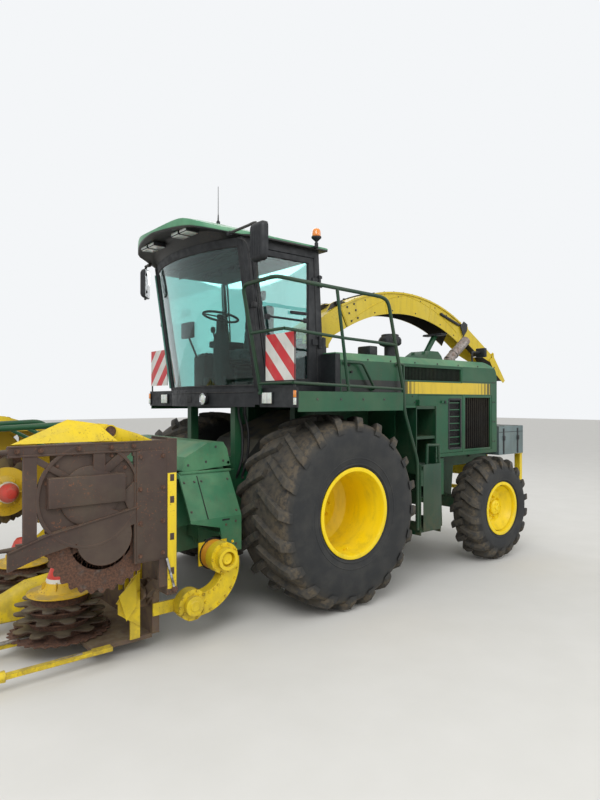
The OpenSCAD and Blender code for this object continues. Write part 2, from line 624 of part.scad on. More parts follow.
// a ring sector in the side view, between two angles on the spout's own circle
module sector(y0, y1, r0, r1, a0, a1) difference() {
    plate_y(y0, y1) translate(spout_c) circle(r1, $fn = 360);
    plate_y(y0 - 1, y1 + 1) translate(spout_c) circle(r0, $fn = 360);
    plate_y(y0 - 1, y1 + 1) polygon([spout_c, arc(4000, a1), arc(5000, a1 + 45), arc(5000, 135), arc(5000, 180),
        arc(5000, -135), arc(5000, a0 - 45), arc(4000, a0)]);
}
module spout() color("#D9BE3A") placed() {
    t = arc(spout_r, spout_a0);
    w = spout_w / 2;
    a = spout_a0 - 0.25;
    sector(-w, w, spout_r - spout_t, spout_r, -spout_a1, a);
    both() sector(w - spout_t, w, spout_in, spout_r - spout_t + 0.5, -spout_a1, a);
    sector(-w + 1, w - 1, spout_in, spout_in + spout_t, 9, a);
    both() sector(w - 0.5, w + 16, spout_r - 22, spout_r + 0.4, -spout_a1 + 3, a - 0.4);
    for (s = [-1, 1]) difference() {
        plate_y(s * 130 - 10, s * 130 + 10) polygon([t + [-12, -8], t + [-150, 62], t + [-60, 70],
            t + [18, 60], t + [20, 22]]);
        rod_y(t[0], t[1] + 36, 12 + fit, -200, 200);
    }
    e = spout_end;
    rod_y(e[0] - 4, e[1] + 14, 12, -spout_w / 2 - 30, spout_w / 2 + 30);
    for (s = [-1, 1]) plate_y(s * 90 - 15, s * 90 + 15) polygon([e + [0, -8], e + [80, 30], e + [60, 40], e + [-4, 26]]);
}
// a hanging flap: top sheet and two cheeks, drawn from its own hinge along -X
module flap(len, half, d0, d1, tail) {
    translate([-len, -half - 6, -8]) cube([len - 30, 2 * half + 12, 8]);
    for (s = [-1, 1]) plate_y(s * (half + 3) - 3, s * (half + 3) + 3) difference() {
        union() {
            polygon([[-34, 0], [-10, -d0], [-len * 0.55, -d0], [-len, -d1], [-len, 0]]);
            circle(28);
            polygon([[0, 28], [0, -28], [-60, -60], [-60, 0]]);
        }
        circle(12 + fit);
    }
    if (tail) {
        translate([-len, 0, 14]) rotate([90, 0, 0]) cylinder(r = 12, h = 2 * half + 60, center = true);
        for (s = [-1, 1]) translate([-len - 6, s * (half - 40) - 15, -4]) cube([66, 30, 16]);
    }
}
module flap_inner() color("#D9BE3A") placed() translate([spout_end[0] - 4, 0, spout_end[1] + 14])
    rotate([0, -flap_a, 0]) flap(flap_len, spout_w / 2 + 6, 190, 120, true);
module flap_outer() color("#D9BE3A") placed() translate([spout_end[0] - 4, 0, spout_end[1] + 14])
    rotate([0, -flap_a, 0]) translate([-flap_len, 0, 14]) rotate([0, flap_a - flap_b, 0])
    flap(flap2_len, spout_w / 2 + 18, 130, 60, false);

// feed housing, header and folding wings
module feed_housing() color("#5FA57A") placed() {
    difference() {
        plate_y(-399, 399) polygon([[665, 640], [665, 1010], [800, 1375], [1620, 1200], [1620, 520], [760, 580]]);
        plate_y(-340, 340) polygon([[600, 760], [600, 960], [840, 1240], [1700, 1110], [1700, 570], [700, 640]]);
        for (r = [[1380, 985], [1380, 700]]) rod_y(r[0], r[1], 30 + fit, -500, 500);
    }
    both() difference() {
        plate_y(398.5, 441) union() {
            translate([lift_x, lift_z]) circle(85);
            polygon([[lift_x, 916], [lift_x, 1084], [1000, 1180], [1000, 800]]);
        }
        rod_y(lift_x, lift_z, 34 + fit, 300, 500);
    }
    plate_y(-790, 790) polygon([[1408, 1470], [1180, 1590], [1020, 1590], [980, 1530], [940, 1375],
        [1440, 1335]]);
    slab(960, 1470, -398, 398, 1290, 1345);
    both() difference() {
        plate_x(960, 1470) polygon([[398, 1330], [792, 1330], [804, 1296], [1000, 950], [1000, 640],
            [984, 640], [984, 944], [788, 1286], [398, 1286]]);
        plate_y(900, 1100) polygon([[1140, 600], [1180, 860], [1480, 930], [1480, 600]]);
    }
    both() difference() {
        union() {
            slab(1600, 1660, 340, 560, 480, 1290);
            slab(1020, 1180, 398.5, 614, 700, 800);
            for (y = [505, 590]) plate_y(y, y + 24) polygon([[1040, 701], [1020, 610], [1150, 610], [1180, 701]]);
            slab(1469, 1610, 440, 470, 760, 1330);
            slab(960, 1470, 440, 470, 799, 1290);
            slab(1000, 1180, 560, 985, 799, 815);
        }
        rod_y(rod_eye[0], rod_eye[1], 22 + fit, 400, 700);
    }
    slab(1600, 1660, -341, 341, 1210, 1290);
    slab(1600, 1660, -341, 341, 430, 515);
}
module drive_case() color("#E8B414") placed() {
    plate_y(1105, 1200) {
        translate([1260, 650]) circle(130);
        translate([1560, 320]) circle(125);
        difference() {
            translate([1496, 600]) circle(380);
            translate([1470, 600]) circle(196);
            polygon([[1000, 650], [1260, 650], [1400, 560], [1560, 320], [1900, 200], [1900, 1000], [1000, 1000]]);
        }
    }
    difference() {
        rod_y(1260, 650, 92, 1000, 1262);
        rod_y(1260, 650, 62, 1205, 1300);
    }
    rod_y(1560, 320, 80, 1198, 1240);
    rod_y(1560, 320, 60, 1085, 1106);
    slab(1120, 1400, 1000, 1010, 560, 760);
    slab(1560, 1860, 1090, 1104.5, 270, 370);
}
module header_frame() color("#4A3A38") placed() {
    x = header_x;
    difference() {
        slab(x, x + 60, -1090, 1090, 130, 1300);
        slab(x - 10, x + 70, -340, 340, 500, 1180);
        both() slab(x - 10, x + 48, 470, 1030, 330, 1180);
    }
    both() {
        slab(1660.2, x, 400, 470, 480, 1260);
        slab(x, x + 60, 1020, 1090, 1299, 1400);
        for (dx = [62, 145]) difference() {
            plate_x(x + dx, x + dx + 23) union() {
                translate([fold_y, fold_z]) circle(46);
                polygon([[1020, fold_z - 140], [1020, fold_z + 80], [fold_y, fold_z + 46], [fold_y, fold_z - 46]]);
            }
            rod_x(fold_y, fold_z, 10, x + dx - 9, x + dx - 8);
        }
        rod_x(fold_y, fold_z, 22, x + 61, x + 169);
        slab(x + 59, x + 168, 1020, 1034, fold_z - 140, fold_z + 80);
        rod_z(rotor_x, rotor_y, 200, 100, 132);
        rod_z(rotor_x, rotor_y, 40, 131, 520);
    }
    slab(x + 59, rotor_x - 60, -1080, 1080, 100, 130);
    slab(x + 59, rotor_x - 60, -1080, 1080, 128, 132);
}
module crop_points() color("#E8C414") placed() {
    x = header_x;
    plate_y(-9, 9) polygon([[rotor_x - 420, 180], [rotor_x - 420, 460], [rotor_x + 120, 420],
        [rotor_x + 620, 190], [rotor_x + 620, 132.5], [rotor_x - 60, 132.5], [rotor_x - 200, 180]]);
    for (y = [-fold_y, 0, fold_y]) {
        slab(rotor_x - 59.5, rotor_x + 540, y - 22, y + 22, 100, 132);
        translate([rotor_x + 539, y, 118]) rotate([0, 90, 0]) cylinder(r1 = 40, r2 = 8, h = point_reach - 539);
    }
    both() {
        difference() {
            slab(rotor_x + 150, rotor_x + 560, rotor_y - 30, rotor_y + 30, 100, 128);
            rod_z(rotor_x, rotor_y, 200, 90, 140);
        }
        translate([rotor_x + 539, rotor_y, 114]) rotate([0, 90, 0]) cylinder(r1 = 44, r2 = 8, h = point_reach - 620);
        slab(rotor_x - 200, rotor_x - 59, 1080, 1142, 100, 132);
        plate_y(1096, 1106) polygon([[x + 169.3, 131.5], [x + 169.3, 640], [x + 230, 600], [x + 360, 430], [x + 250, 380],
            [x + 250, 131.5]]);
    }
}
module push_bar() color("#2E7350") placed() {
    x = header_x + 60;
    both() {
        path([[x + 32, 430, 1100], [x + 32, 430, 1330], [2250, 430, 1772], [2900, 430, 1745], [2960, 430, 1695]], 24);
        slab(x, x + 9, 400, 460, 1080, 1280);
    }
    bar([2900, -640, 1745], [2900, 640, 1745], 21, 12);
}
module roll(r, n) {
    rotate([90, 0, 0]) {
        cylinder(r = r - 24, h = 640, center = true);
        cylinder(r = 30, h = 780, center = true);
        for (i = [0 : n - 1]) rotate([0, 0, i * 360 / n]) translate([r - 34, -5, -318]) cube([34, 10, 636]);
    }
}
module feed_roll_upper() color("#4A4B4A") placed() translate([1380, 0, 985]) roll(112, 8);
module feed_roll_lower() color("#4A4B4A") placed() translate([1380, 0, 700]) roll(104, 8);
module wing(side) mirror([0, side < 0 ? 1 : 0, 0]) folded(1) {
    x = header_x;
    y = fold_y;
    difference() {
        plate_x(x + 92, x + 138) union() {
            translate([y, fold_z]) circle(46);
            polygon([[y - 46, fold_z], [y, fold_z + 46], [y + 46, fold_z], [y + 142, fold_z - 150], [y + 142, 100],
                [y + 70, 100], [y + 70, fold_z - 150]]);
        }
        rod_x(y, fold_z, 22 + fit, x, x + 200);
    }
    slab(x + 62, x + 74, y + 70, wing_end, 100, 500);
    slab(x + 73, x + 140, y + 70, wing_end, 100, 131);
    slab(x + 139, x + 390, 1460, 2274, 100, 131);
    slab(x + 139, x + 200, 1260, 1461, 100, 131);
    translate([2498, 1970, 119]) cylinder(r = 345, h = 12);
    slab(2840, 2920, 1690, 2251, 100, 131);
    slab(2149, 3010, 2250, 2322, 100, 131);
    slab(x + 73, 2200, 2219, 2322, 100, 131);
    slab(2260, 2780, 1910, 2110, 100, 131);
    plate_z(100, 131) polygon([[2140, 1872], [2790, 1747], [3010, 1672], [3010, 1545], [2790, 1620], [2140, 1752]]);
    slab(2400, 2480, 2100, 2260, 100, 131);
    at_rotor(1, 3) {
        translate([0, 0, 100]) cylinder(r = 190, h = 32);
        translate([0, 0, 131]) cylinder(r = 40, h = 389);
    }
    slab(rotor_x + 380, rotor_x + 560, 1650, 1710, 100, 131);
    translate([rotor_x + 540, 1680, 118]) rotate([0, 90, 0]) cylinder(r1 = 18, r2 = 6, h = point_reach - 640);
    translate([3009, 2286, 118]) rotate([0, 90, 0]) cylinder(r1 = 18, r2 = 6, h = 180);
    plate_y(2296, 2310) polygon([[x + 62, 130], [x + 62, 560], [2300, 520], [3000, 190], [3000, 130]]);
}
module wing_left() color("#4A3A38") placed() wing(1);
module wing_right() color("#4A3A38") placed() wing(-1);
// one tier of hooked gripping teeth as a flat plate
module tooth_ring(n, r, depth) polygon([for (i = [0 : n - 1]) for (q = [[0, 0], [0.36, 0.15], [0.52, 1],
    [0.72, 1], [0.80, 0.35]]) let (a = (i + q[0]) * 360 / n, d = r - depth * q[1]) [d * cos(a), d * sin(a)]]);
module rotor() difference() {
    union() {
        rotate_extrude() polygon([[0, 142], [228, 142], [228, 200], [212, 215], [212, 400], [190, 440], [122, 500],
            [70, 640], [46, 680], [0, 680]]);
        plate_z(142, 150) tooth_ring(saw_teeth, rotor_r, 26);
        for (t = [[196, rotor_r - 32, 0], [286, rotor_r - 44, 8], [372, rotor_r - 56, 16]]) plate_z(t[0], t[0] + 10)
            rotate(t[2]) tooth_ring(rotor_teeth, t[1], 94);
        plate_z(444, 452) circle(250);
        for (a = [0 : 60 : 300]) rotate([0, 0, a]) translate([50, -6, 452]) cube([92, 12, 90]);
    }
    translate([0, 0, 100]) cylinder(r = 40 + fit, h = 430);
}
module rotor_inner_left() color("#D9BE3A") placed() at_rotor(1, 1) rotor();
module rotor_inner_right() color("#D9BE3A") placed() at_rotor(-1, 1) rotor();
module rotor_outer_left() color("#D9BE3A") placed() folded(1) at_rotor(1, 3) rotor();
module rotor_outer_right() color("#D9BE3A") placed() mirror([0, 1, 0]) folded(1) at_rotor(1, 3) rotor();
lift_d = rod_eye - barrel_eye;
lift_l = norm(lift_d);
lift_a = atan2(lift_d[1], lift_d[0]);
module on_lift() both() translate([barrel_eye[0], 560, barrel_eye[1]]) rotate([0, 90 - lift_a, 0]) children();
module lift_barrels() color("#1C2028") placed() on_lift() difference() {
    union() {
        cylinder(r = 26, h = 70);
        translate([0, 0, 66]) cylinder(r = 46, h = 424);
        rotate([90, 0, 0]) cylinder(r = 42, h = 56, center = true);
    }
    rotate([90, 0, 0]) cylinder(r = 22 + fit, h = 80, center = true);
    translate([0, 0, 90]) cylinder(r = 26 + fit, h = 500);
}
module lift_rods() color("#B8BCC0") placed() on_lift() difference() {
    union() {
        translate([0, 0, 160]) cylinder(r = 26, h = lift_l - 180);
        translate([0, 0, lift_l]) rotate([90, 0, 0]) cylinder(r = 38, h = 50, center = true);
    }
    translate([0, 0, lift_l]) rotate([90, 0, 0]) cylinder(r = 22 + fit, h = 80, center = true);
}

// wheels and steering
module on_wheel(side, x, y, z) translate([x, side * y, z]) rotate([-90 * side, 0, 0]) children();
module tyre(r, w, hub, n) union() {
    h = lug_h;
    rotate_extrude() polygon([[hub, 36 - w / 2], [hub + 24, 36 - w / 2], [hub + 60, 12 - w / 2], [(r + hub) / 2, -w / 2],
        [r - h - 90, 14 - w / 2], [r - h - 22, 60 - w / 2], [r - h, -w / 6], [r - h, w / 6], [r - h - 22, w / 2 - 60],
        [r - h - 90, w / 2 - 14], [(r + hub) / 2, w / 2], [hub + 60, w / 2 - 12], [hub + 24, w / 2 - 36],
        [hub, w / 2 - 36]]);
    intersection() {
        rotate_extrude() polygon([[r - h - 120, 1 - w / 2], [r - h - 60, 0.5 - w / 2], [r - 20, 50 - w / 2], [r, -w / 6],
            [r, w / 6], [r - 20, w / 2 - 50], [r - h - 60, w / 2 - 0.5], [r - h - 120, w / 2 - 1]]);
        union() for (s = [0, 1]) for (i = [0 : n - 1]) rotate([0, 0, (i + s / 2) * 360 / n]) mirror([0, 0, s])
            translate([r - h - 110, 0, 0]) rotate([90, 0, 90]) linear_extrude(h + 120) polygon([[-40, -12], [40, -12],
                [0.32 * w + 30, w / 2 + 10], [0.32 * w - 55, w / 2 + 10]]);
    }
}
module rim(hub, w, disc, bore, boss) {
    e = w / 2 - 35.7;
    difference() {
        rotate_extrude() polygon([[hub - 14, -e - 13], [hub + 23, -e - 13], [hub + 23, -e], [hub - 0.4, -e],
            [hub - 0.4, e], [hub + 23, e], [hub + 23, e + 13], [hub - 14, e + 13], [hub - 26, e - 40],
            [hub - 30, disc + 90], [hub * 0.62, disc + 16], [boss, disc + 16], [boss, disc + 62], [boss - 30, disc + 76],
            [0, disc + 76], [0, disc - 14], [hub * 0.62, disc - 14], [hub - 44, disc + 50], [hub - 44, 100 - e],
            [hub - 26, 40 - e]]);
        translate([0, 0, disc - 30]) cylinder(r = bore + fit, h = 90);
    }
    for (i = [0 : 9]) rotate([0, 0, i * 36 + 18]) translate([boss + 34, 0, disc + 15.5]) cylinder(r = 15, h = 22, $fn = 6);
}
module front_tyre_left() color("#3A3B40") placed() on_wheel(1, 0, front_y, front_tyre_r)
    tyre(front_tyre_r, front_tyre_w, front_rim_r, front_lugs);
module front_tyre_right() color("#3A3B40") placed() on_wheel(-1, 0, front_y, front_tyre_r)
    tyre(front_tyre_r, front_tyre_w, front_rim_r, front_lugs);
module front_rim_left() color("#F2C70F") placed() on_wheel(1, 0, front_y, front_tyre_r)
    rim(front_rim_r, front_tyre_w, -235, 60, 130);
module front_rim_right() color("#F2C70F") placed() on_wheel(-1, 0, front_y, front_tyre_r)
    rim(front_rim_r, front_tyre_w, -235, 60, 130);
module rear_tyre_left() color("#3A3B40") placed() on_wheel(1, rear_x, rear_y, rear_tyre_r)
    tyre(rear_tyre_r, rear_tyre_w, rear_rim_r, rear_lugs);
module rear_tyre_right() color("#3A3B40") placed() on_wheel(-1, rear_x, rear_y, rear_tyre_r)
    tyre(rear_tyre_r, rear_tyre_w, rear_rim_r, rear_lugs);
module rear_rim_left() color("#F2C70F") placed() on_wheel(1, rear_x, rear_y, rear_tyre_r)
    rim(rear_rim_r, rear_tyre_w, 20, 45, 92);
module rear_rim_right() color("#F2C70F") placed() on_wheel(-1, rear_x, rear_y, rear_tyre_r)
    rim(rear_rim_r, rear_tyre_w, 20, 45, 92);
module knuckle() {
    rod_z(rear_x, kingpin_y, 50, 557, 713);
    rod_z(rear_x, kingpin_y, 25, 492, 776);
    rod_y(rear_x, rear_tyre_r, 70, kingpin_y + 20, kingpin_y + 190);
    rod_y(rear_x, rear_tyre_r, 45, kingpin_y + 180, rear_y + 68);
    slab(rear_x - 200, rear_x, kingpin_y - 42, kingpin_y + 6, 560, 585);
    rod_z(rear_x - 200, kingpin_y - 20, 32, 560, 585);
}
module knuckle_left() color("#3C4144") placed() knuckle();
module knuckle_right() color("#3C4144") placed() mirror([0, 1, 0]) knuckle();
module steering_rod() color("#3C4144") placed() {
    rod_y(rear_x - 200, 611, 18, -kingpin_y + 20, kingpin_y - 20);
    both() rod_z(rear_x - 200, kingpin_y - 20, 28, 585 + fit, 631);
}

main_frame();
front_axle();
rear_axle();
drive_train();
body_panels();
deck();
side_grilles();
side_door_left();
side_door_right();
platform();
handrails();
ladder();
fuel_tank();
cab_base();
cab_frame();
cab_roof();
cab_glass();
cab_door();
door_glass();
cab_interior();
mirrors();
warning_boards();
lamps();
deck_fittings();
rear_box();
hitch();
turret();
spout();
flap_inner();
flap_outer();
feed_housing();
drive_case();
header_frame();
crop_points();
push_bar();
feed_roll_upper();
feed_roll_lower();
wing_left();
wing_right();
rotor_inner_left();
rotor_inner_right();
rotor_outer_left();
rotor_outer_right();
lift_barrels();
lift_rods();
front_tyre_left();
front_tyre_right();
front_rim_left();
front_rim_right();
rear_tyre_left();
rear_tyre_right();
rear_rim_left();
rear_rim_right();
knuckle_left();
knuckle_right();
steering_rod();
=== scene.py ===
"""Looks of a self-propelled forage harvester with a folding maize header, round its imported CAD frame.

Every length is in metres. Pieces are drawn from the front axle, +X forward, +Y to the machine's left
and +Z up, and Bench.piece moves each one once to the shared frame.
"""
import logging
import math
from dataclasses import dataclass
from enum import Enum
from typing import Iterable, Sequence

import bmesh
import bpy
from mathutils import Matrix, Vector


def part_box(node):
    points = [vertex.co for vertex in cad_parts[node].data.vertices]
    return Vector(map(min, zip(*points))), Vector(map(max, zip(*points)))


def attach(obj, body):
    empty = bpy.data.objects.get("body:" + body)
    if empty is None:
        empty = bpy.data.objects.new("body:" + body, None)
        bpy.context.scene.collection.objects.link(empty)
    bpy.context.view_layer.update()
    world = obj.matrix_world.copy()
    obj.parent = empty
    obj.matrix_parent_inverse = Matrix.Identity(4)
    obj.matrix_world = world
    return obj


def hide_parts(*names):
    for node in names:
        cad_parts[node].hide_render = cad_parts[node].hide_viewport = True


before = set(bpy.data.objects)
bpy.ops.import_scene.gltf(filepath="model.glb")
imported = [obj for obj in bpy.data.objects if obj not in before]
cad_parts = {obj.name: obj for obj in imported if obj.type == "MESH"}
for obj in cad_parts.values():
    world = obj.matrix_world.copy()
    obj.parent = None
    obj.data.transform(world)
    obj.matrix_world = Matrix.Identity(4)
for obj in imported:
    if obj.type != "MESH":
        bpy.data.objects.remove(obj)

log = logging.getLogger("harvester")
Point = Sequence[float]


def centre_of(node: str) -> Vector:
    """The middle of a CAD node's box, in the shared frame."""
    low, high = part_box(node)
    return (low + high) / 2


AXLE_X = centre_of("front_rim_left").x


class Slot(Enum):
    """The record's material slots; each new piece names one beside the finish that it takes."""

    GREEN = "body_green"
    PALE_GREEN = "pale_green"
    RIM = "rim_yellow"
    SPOUT = "spout_yellow"
    HEADER = "header_yellow"
    PRIMER = "primer_brown"
    BLACK = "black"
    GLASS = "glass"
    TYRE = "tyre"
    STEEL = "steel"
    CAST = "cast_grey"
    GREY = "grey"
    INTERIOR = "interior"
    BOARD = "board"
    CHROME = "rod"
    GRILLE = "grille"


def linear(code: str) -> tuple[float, float, float, float]:
    """An sRGB hex colour as the linear RGBA that Blender's sockets take.

    Args:
        code: six hex digits.
    Returns:
        Red, green, blue and an alpha of 1.
    """
    parts = [int(code[i:i + 2], 16) / 255 for i in (0, 2, 4)]
    return (*[p / 12.92 if p <= 0.04045 else ((p + 0.055) / 1.055) ** 2.4 for p in parts], 1.0)


def per_metre(size_mm: float) -> float:
    """The pattern scale at which one feature is size_mm across, on coordinates in metres."""
    return 1000.0 / size_mm


def add(tree: bpy.types.NodeTree, kind: str, inputs: dict | None = None,
        **settings: object) -> bpy.types.Node:
    """Adds one shader node with its settings and its links.

    Args:
        tree: the material's node tree.
        kind: the node's type without its ShaderNode prefix.
        inputs: socket name or number to a value, or to the output that feeds it.
        settings: properties of the node itself.
    Returns:
        The new node.
    """
    node = tree.nodes.new("ShaderNode" + kind)
    for name, value in settings.items():
        setattr(node, name, value)
    for key, value in (inputs or {}).items():
        if isinstance(value, bpy.types.NodeSocket):
            tree.links.new(value, node.inputs[key])
        else:
            node.inputs[key].default_value = value
    return node


class Pattern:
    """The masks that finishes are layered from, on one material's object coordinates."""

    def __init__(self, tree: bpy.types.NodeTree) -> None:
        """Starts from the object coordinates and the rest normal, which no pose changes.

        Args:
            tree: the material's node tree.
        """
        self.tree = tree
        source = add(tree, "TexCoord")
        self.place = source.outputs["Object"]
        self.facing = add(tree, "SeparateXYZ", {0: source.outputs["Normal"]})
        self.axes = add(tree, "SeparateXYZ", {0: self.place})

    def patches(self, size_mm: float, low: float, high: float, detail: float = 4.0,
                stretch: Point = (1.0, 1.0, 1.0)) -> bpy.types.NodeSocket:
        """Irregular patches of about size_mm: 0 where the noise is under low, 1 where over high.

        Args:
            size_mm: about how wide a patch is.
            low: noise at which the mask is 0.
            high: noise at which the mask is 1.
            detail: how many finer layers the noise has.
            stretch: how many times finer the patches are along each axis.
        Returns:
            The mask.
        """
        spread = add(self.tree, "Mapping", {"Vector": self.place, "Scale": stretch})
        noise = add(self.tree, "TexNoise", {"Vector": spread.outputs[0], "Scale": per_metre(size_mm),
                                            "Detail": detail, "Roughness": 0.6})
        return add(self.tree, "MapRange", {0: noise.outputs[0], 1: low, 2: high},
                   interpolation_type="SMOOTHSTEP").outputs[0]

    def band(self, value: bpy.types.NodeSocket, start: float, end: float) -> bpy.types.NodeSocket:
        """A ramp from 0 where value is at start to 1 where it is at end."""
        return add(self.tree, "MapRange", {0: value, 1: start, 2: end}, clamp=True).outputs[0]

    def both(self, one: bpy.types.NodeSocket, other: bpy.types.NodeSocket | float) -> bpy.types.NodeSocket:
        """Where both masks hold."""
        return add(self.tree, "Math", {0: one, 1: other}, operation="MULTIPLY").outputs[0]

    def layer(self, mask: bpy.types.NodeSocket, under: object, over: object) -> bpy.types.NodeSocket:
        """The colour over laid on the colour under where the mask is 1."""
        return add(self.tree, "Mix", {0: mask, 6: under, 7: over}, data_type="RGBA").outputs[2]

    def edges(self, reach_mm: float) -> bpy.types.NodeSocket:
        """Convex and concave edges within reach_mm, where paint wears first.

        Args:
            reach_mm: how far from an edge the wear reaches.
        Returns:
            The mask.
        """
        soft = add(self.tree, "Bevel", {"Radius": reach_mm / 1000}, samples=4)
        hard = add(self.tree, "NewGeometry")
        same = add(self.tree, "VectorMath", {0: soft.outputs[0], 1: hard.outputs["Normal"]},
                   operation="DOT_PRODUCT")
        return self.band(same.outputs["Value"], 0.985, 0.80)

    def relief(self, height: bpy.types.NodeSocket, depth_mm: float,
               strength: float = 1.0) -> bpy.types.NodeSocket:
        """The normal of a surface whose relief is depth_mm deep."""
        return add(self.tree, "Bump", {"Height": height, "Distance": depth_mm / 1000,
                                       "Strength": strength}).outputs[0]


@dataclass(frozen=True)
class Finish:
    """A finish: a base colour and how light leaves it. Subclasses add what the real surface shows."""

    name: str
    colour: str
    roughness: float = 0.5
    metallic: float = 0.0

    def material(self) -> bpy.types.Material:
        """The Blender material of this finish, made once.

        Returns:
            The material.
        """
        made = bpy.data.materials.get(self.name)
        if made is None:
            made = bpy.data.materials.new(self.name)
            made.use_nodes = True
            shader = made.node_tree.nodes["Principled BSDF"]
            shader.inputs["Metallic"].default_value = self.metallic
            shader.inputs["Roughness"].default_value = self.roughness
            self.dress(made.node_tree, shader)
        return made

    @staticmethod
    def feed(tree: bpy.types.NodeTree, shader: bpy.types.Node, **sockets: bpy.types.NodeSocket) -> None:
        """Links each named output to the shader's socket of that name."""
        for name, source in sockets.items():
            tree.links.new(source, shader.inputs[name.replace("_", " ")])

    def dress(self, tree: bpy.types.NodeTree, shader: bpy.types.Node) -> None:
        """Lays the finish on the shader."""
        raise NotImplementedError


@dataclass(frozen=True)
class Paint(Finish):
    """Sprayed machinery enamel on sheet or cast steel. It shows a slight orange peel, chalks pale in the
    sun, holds field dust on what faces up, mud low down, and chips to primer and rust along its edges."""

    faded: str = "4F8A68"
    fade: float = 0.5
    dust: float = 0.35
    mud_top: float = 0.9
    chips: float = 0.25
    under: str = "5A3A2A"
    edge_mm: float = 0.0

    def coat(self, pattern: Pattern) -> bpy.types.NodeSocket:
        """The colour of the clean coat, before dust and chips."""
        chalk = pattern.both(pattern.patches(650, 0.38, 0.68, 5), self.fade)
        return pattern.layer(chalk, linear(self.colour), linear(self.faded))

    def dress(self, tree: bpy.types.NodeTree, shader: bpy.types.Node) -> None:
        """Layers coat, stains, dust, mud and chips, and links colour, gloss and relief.

        Args:
            tree: the material's node tree.
            shader: its Principled shader.
        """
        p = Pattern(tree)
        tone = self.coat(p)
        streak = p.both(p.patches(90, 0.45, 0.75, 5, (1.0, 1.0, 0.16)), 0.22)
        tone = p.layer(streak, tone, linear("3B3A30"))
        upward = p.both(p.band(p.facing.outputs[2], 0.25, 0.95), p.patches(160, 0.3, 0.62))
        film = add(tree, "Math", {0: upward, 1: p.both(p.patches(420, 0.35, 0.75), 0.4)}, operation="MAXIMUM")
        film = p.both(film.outputs[0], self.dust)
        tone = p.layer(film, tone, linear("8B8168"))
        mud = p.both(p.band(p.axes.outputs[2], self.mud_top, self.mud_top - 0.75),
                     p.patches(70, 0.36, 0.6, 7))
        tone = p.layer(p.both(mud, 0.75), tone, linear("6A5B45"))
        chip = p.both(p.patches(16, 0.60, 0.64, 3), p.patches(260, 0.42, 0.72))
        if self.edge_mm:
            rim = p.both(p.edges(self.edge_mm), p.patches(35, 0.35, 0.55, 6))
            chip = add(tree, "Math", {0: chip, 1: rim}, operation="MAXIMUM").outputs[0]
        rust = p.layer(p.patches(24, 0.4, 0.6), linear(self.under), linear("7A4A2C"))
        tone = p.layer(p.both(chip, self.chips), tone, rust)
        gloss = p.band(add(tree, "Math", {0: film, 1: mud}, operation="MAXIMUM").outputs[0], 0.0, 1.0)
        rough = add(tree, "MapRange", {0: gloss, 3: self.roughness, 4: 0.88}).outputs[0]
        peel = add(tree, "TexNoise", {"Vector": p.place, "Scale": per_metre(7), "Detail": 2.0})
        shader.inputs["Specular IOR Level"].default_value = 0.4
        self.feed(tree, shader, Base_Color=tone, Roughness=rough,
                  Normal=p.relief(peel.outputs[0], 0.35, 0.35))


@dataclass(frozen=True)
class SidePaint(Paint):
    """The body sides' enamel with its printed stripe: a yellow band that ends in thinning dark bars."""

    low: float = 2.045
    high: float = 2.185
    front: float = -1.10
    rear: float = -2.78
    stripe: str = "D2B52E"
    panel: tuple[float, float] = (-0.17, -1.07)

    def coat(self, pattern: Pattern) -> bpy.types.NodeSocket:
        """The green coat with the yellow band and the bars that close it at both ends.

        Args:
            pattern: the material's masks.
        Returns:
            The colour.
        """
        tone = super().coat(pattern)
        tree = pattern.tree
        height = pattern.axes.outputs[2]
        inside = pattern.both(pattern.band(height, self.low, self.low + 0.002),
                              pattern.band(height, self.high, self.high - 0.002))
        along = add(tree, "Math", {0: pattern.axes.outputs[0], 1: AXLE_X}, operation="SUBTRACT").outputs[0]
        length = pattern.both(pattern.band(along, self.rear, self.rear + 0.004),
                              pattern.band(along, self.front, self.front - 0.004))
        side = add(tree, "Math", {0: pattern.facing.outputs[1]}, operation="ABSOLUTE").outputs[0]
        stripe = pattern.both(pattern.both(inside, length), pattern.band(side, 0.7, 0.75))
        tone = pattern.layer(stripe, tone, linear(self.stripe))
        dark = pattern.both(pattern.band(along, self.panel[1], self.panel[1] + 0.004),
                            pattern.band(along, self.panel[0], self.panel[0] - 0.004))
        tone = pattern.layer(pattern.both(pattern.both(inside, dark), pattern.band(side, 0.7, 0.75)), tone,
                             linear("1A201D"))
        saw = add(tree, "Math", {0: along, 1: 0.034}, operation="PINGPONG").outputs[0]
        for start, end in ((self.front - 0.34, self.front), (self.rear + 0.36, self.rear)):
            share = pattern.band(along, start, end)
            bar = add(tree, "Math",
                      {0: saw, 1: add(tree, "MapRange", {0: share, 3: 0.0, 4: 0.031}).outputs[0]},
                      operation="LESS_THAN").outputs[0]
            tone = pattern.layer(pattern.both(pattern.both(bar, stripe), share), tone, linear("1B2A22"))
        return tone


@dataclass(frozen=True)
class RoofPaint(Paint):
    """The roof's faded enamel over a black lining: the underside, its arch and the gutter line stay dark."""

    gutter: float = 3.497
    step_x: float = 1.10
    lining: str = "15171A"

    def coat(self, pattern: Pattern) -> bpy.types.NodeSocket:
        """The pale coat above, black plastic on what faces down and below the gutter.

        Args:
            pattern: the material's masks.
        Returns:
            The colour.
        """
        down = pattern.band(pattern.facing.outputs[2], -0.10, -0.16)
        low = pattern.band(pattern.axes.outputs[2], self.gutter + 0.002, self.gutter)
        step = pattern.both(pattern.band(pattern.facing.outputs[0], 0.65, 0.72),
                            pattern.band(pattern.axes.outputs[0], AXLE_X + self.step_x + 0.002,
                                         AXLE_X + self.step_x))
        dark = add(pattern.tree, "Math", {0: down, 1: low}, operation="MAXIMUM").outputs[0]
        dark = add(pattern.tree, "Math", {0: dark, 1: step}, operation="MAXIMUM").outputs[0]
        return pattern.layer(dark, super().coat(pattern), linear(self.lining))


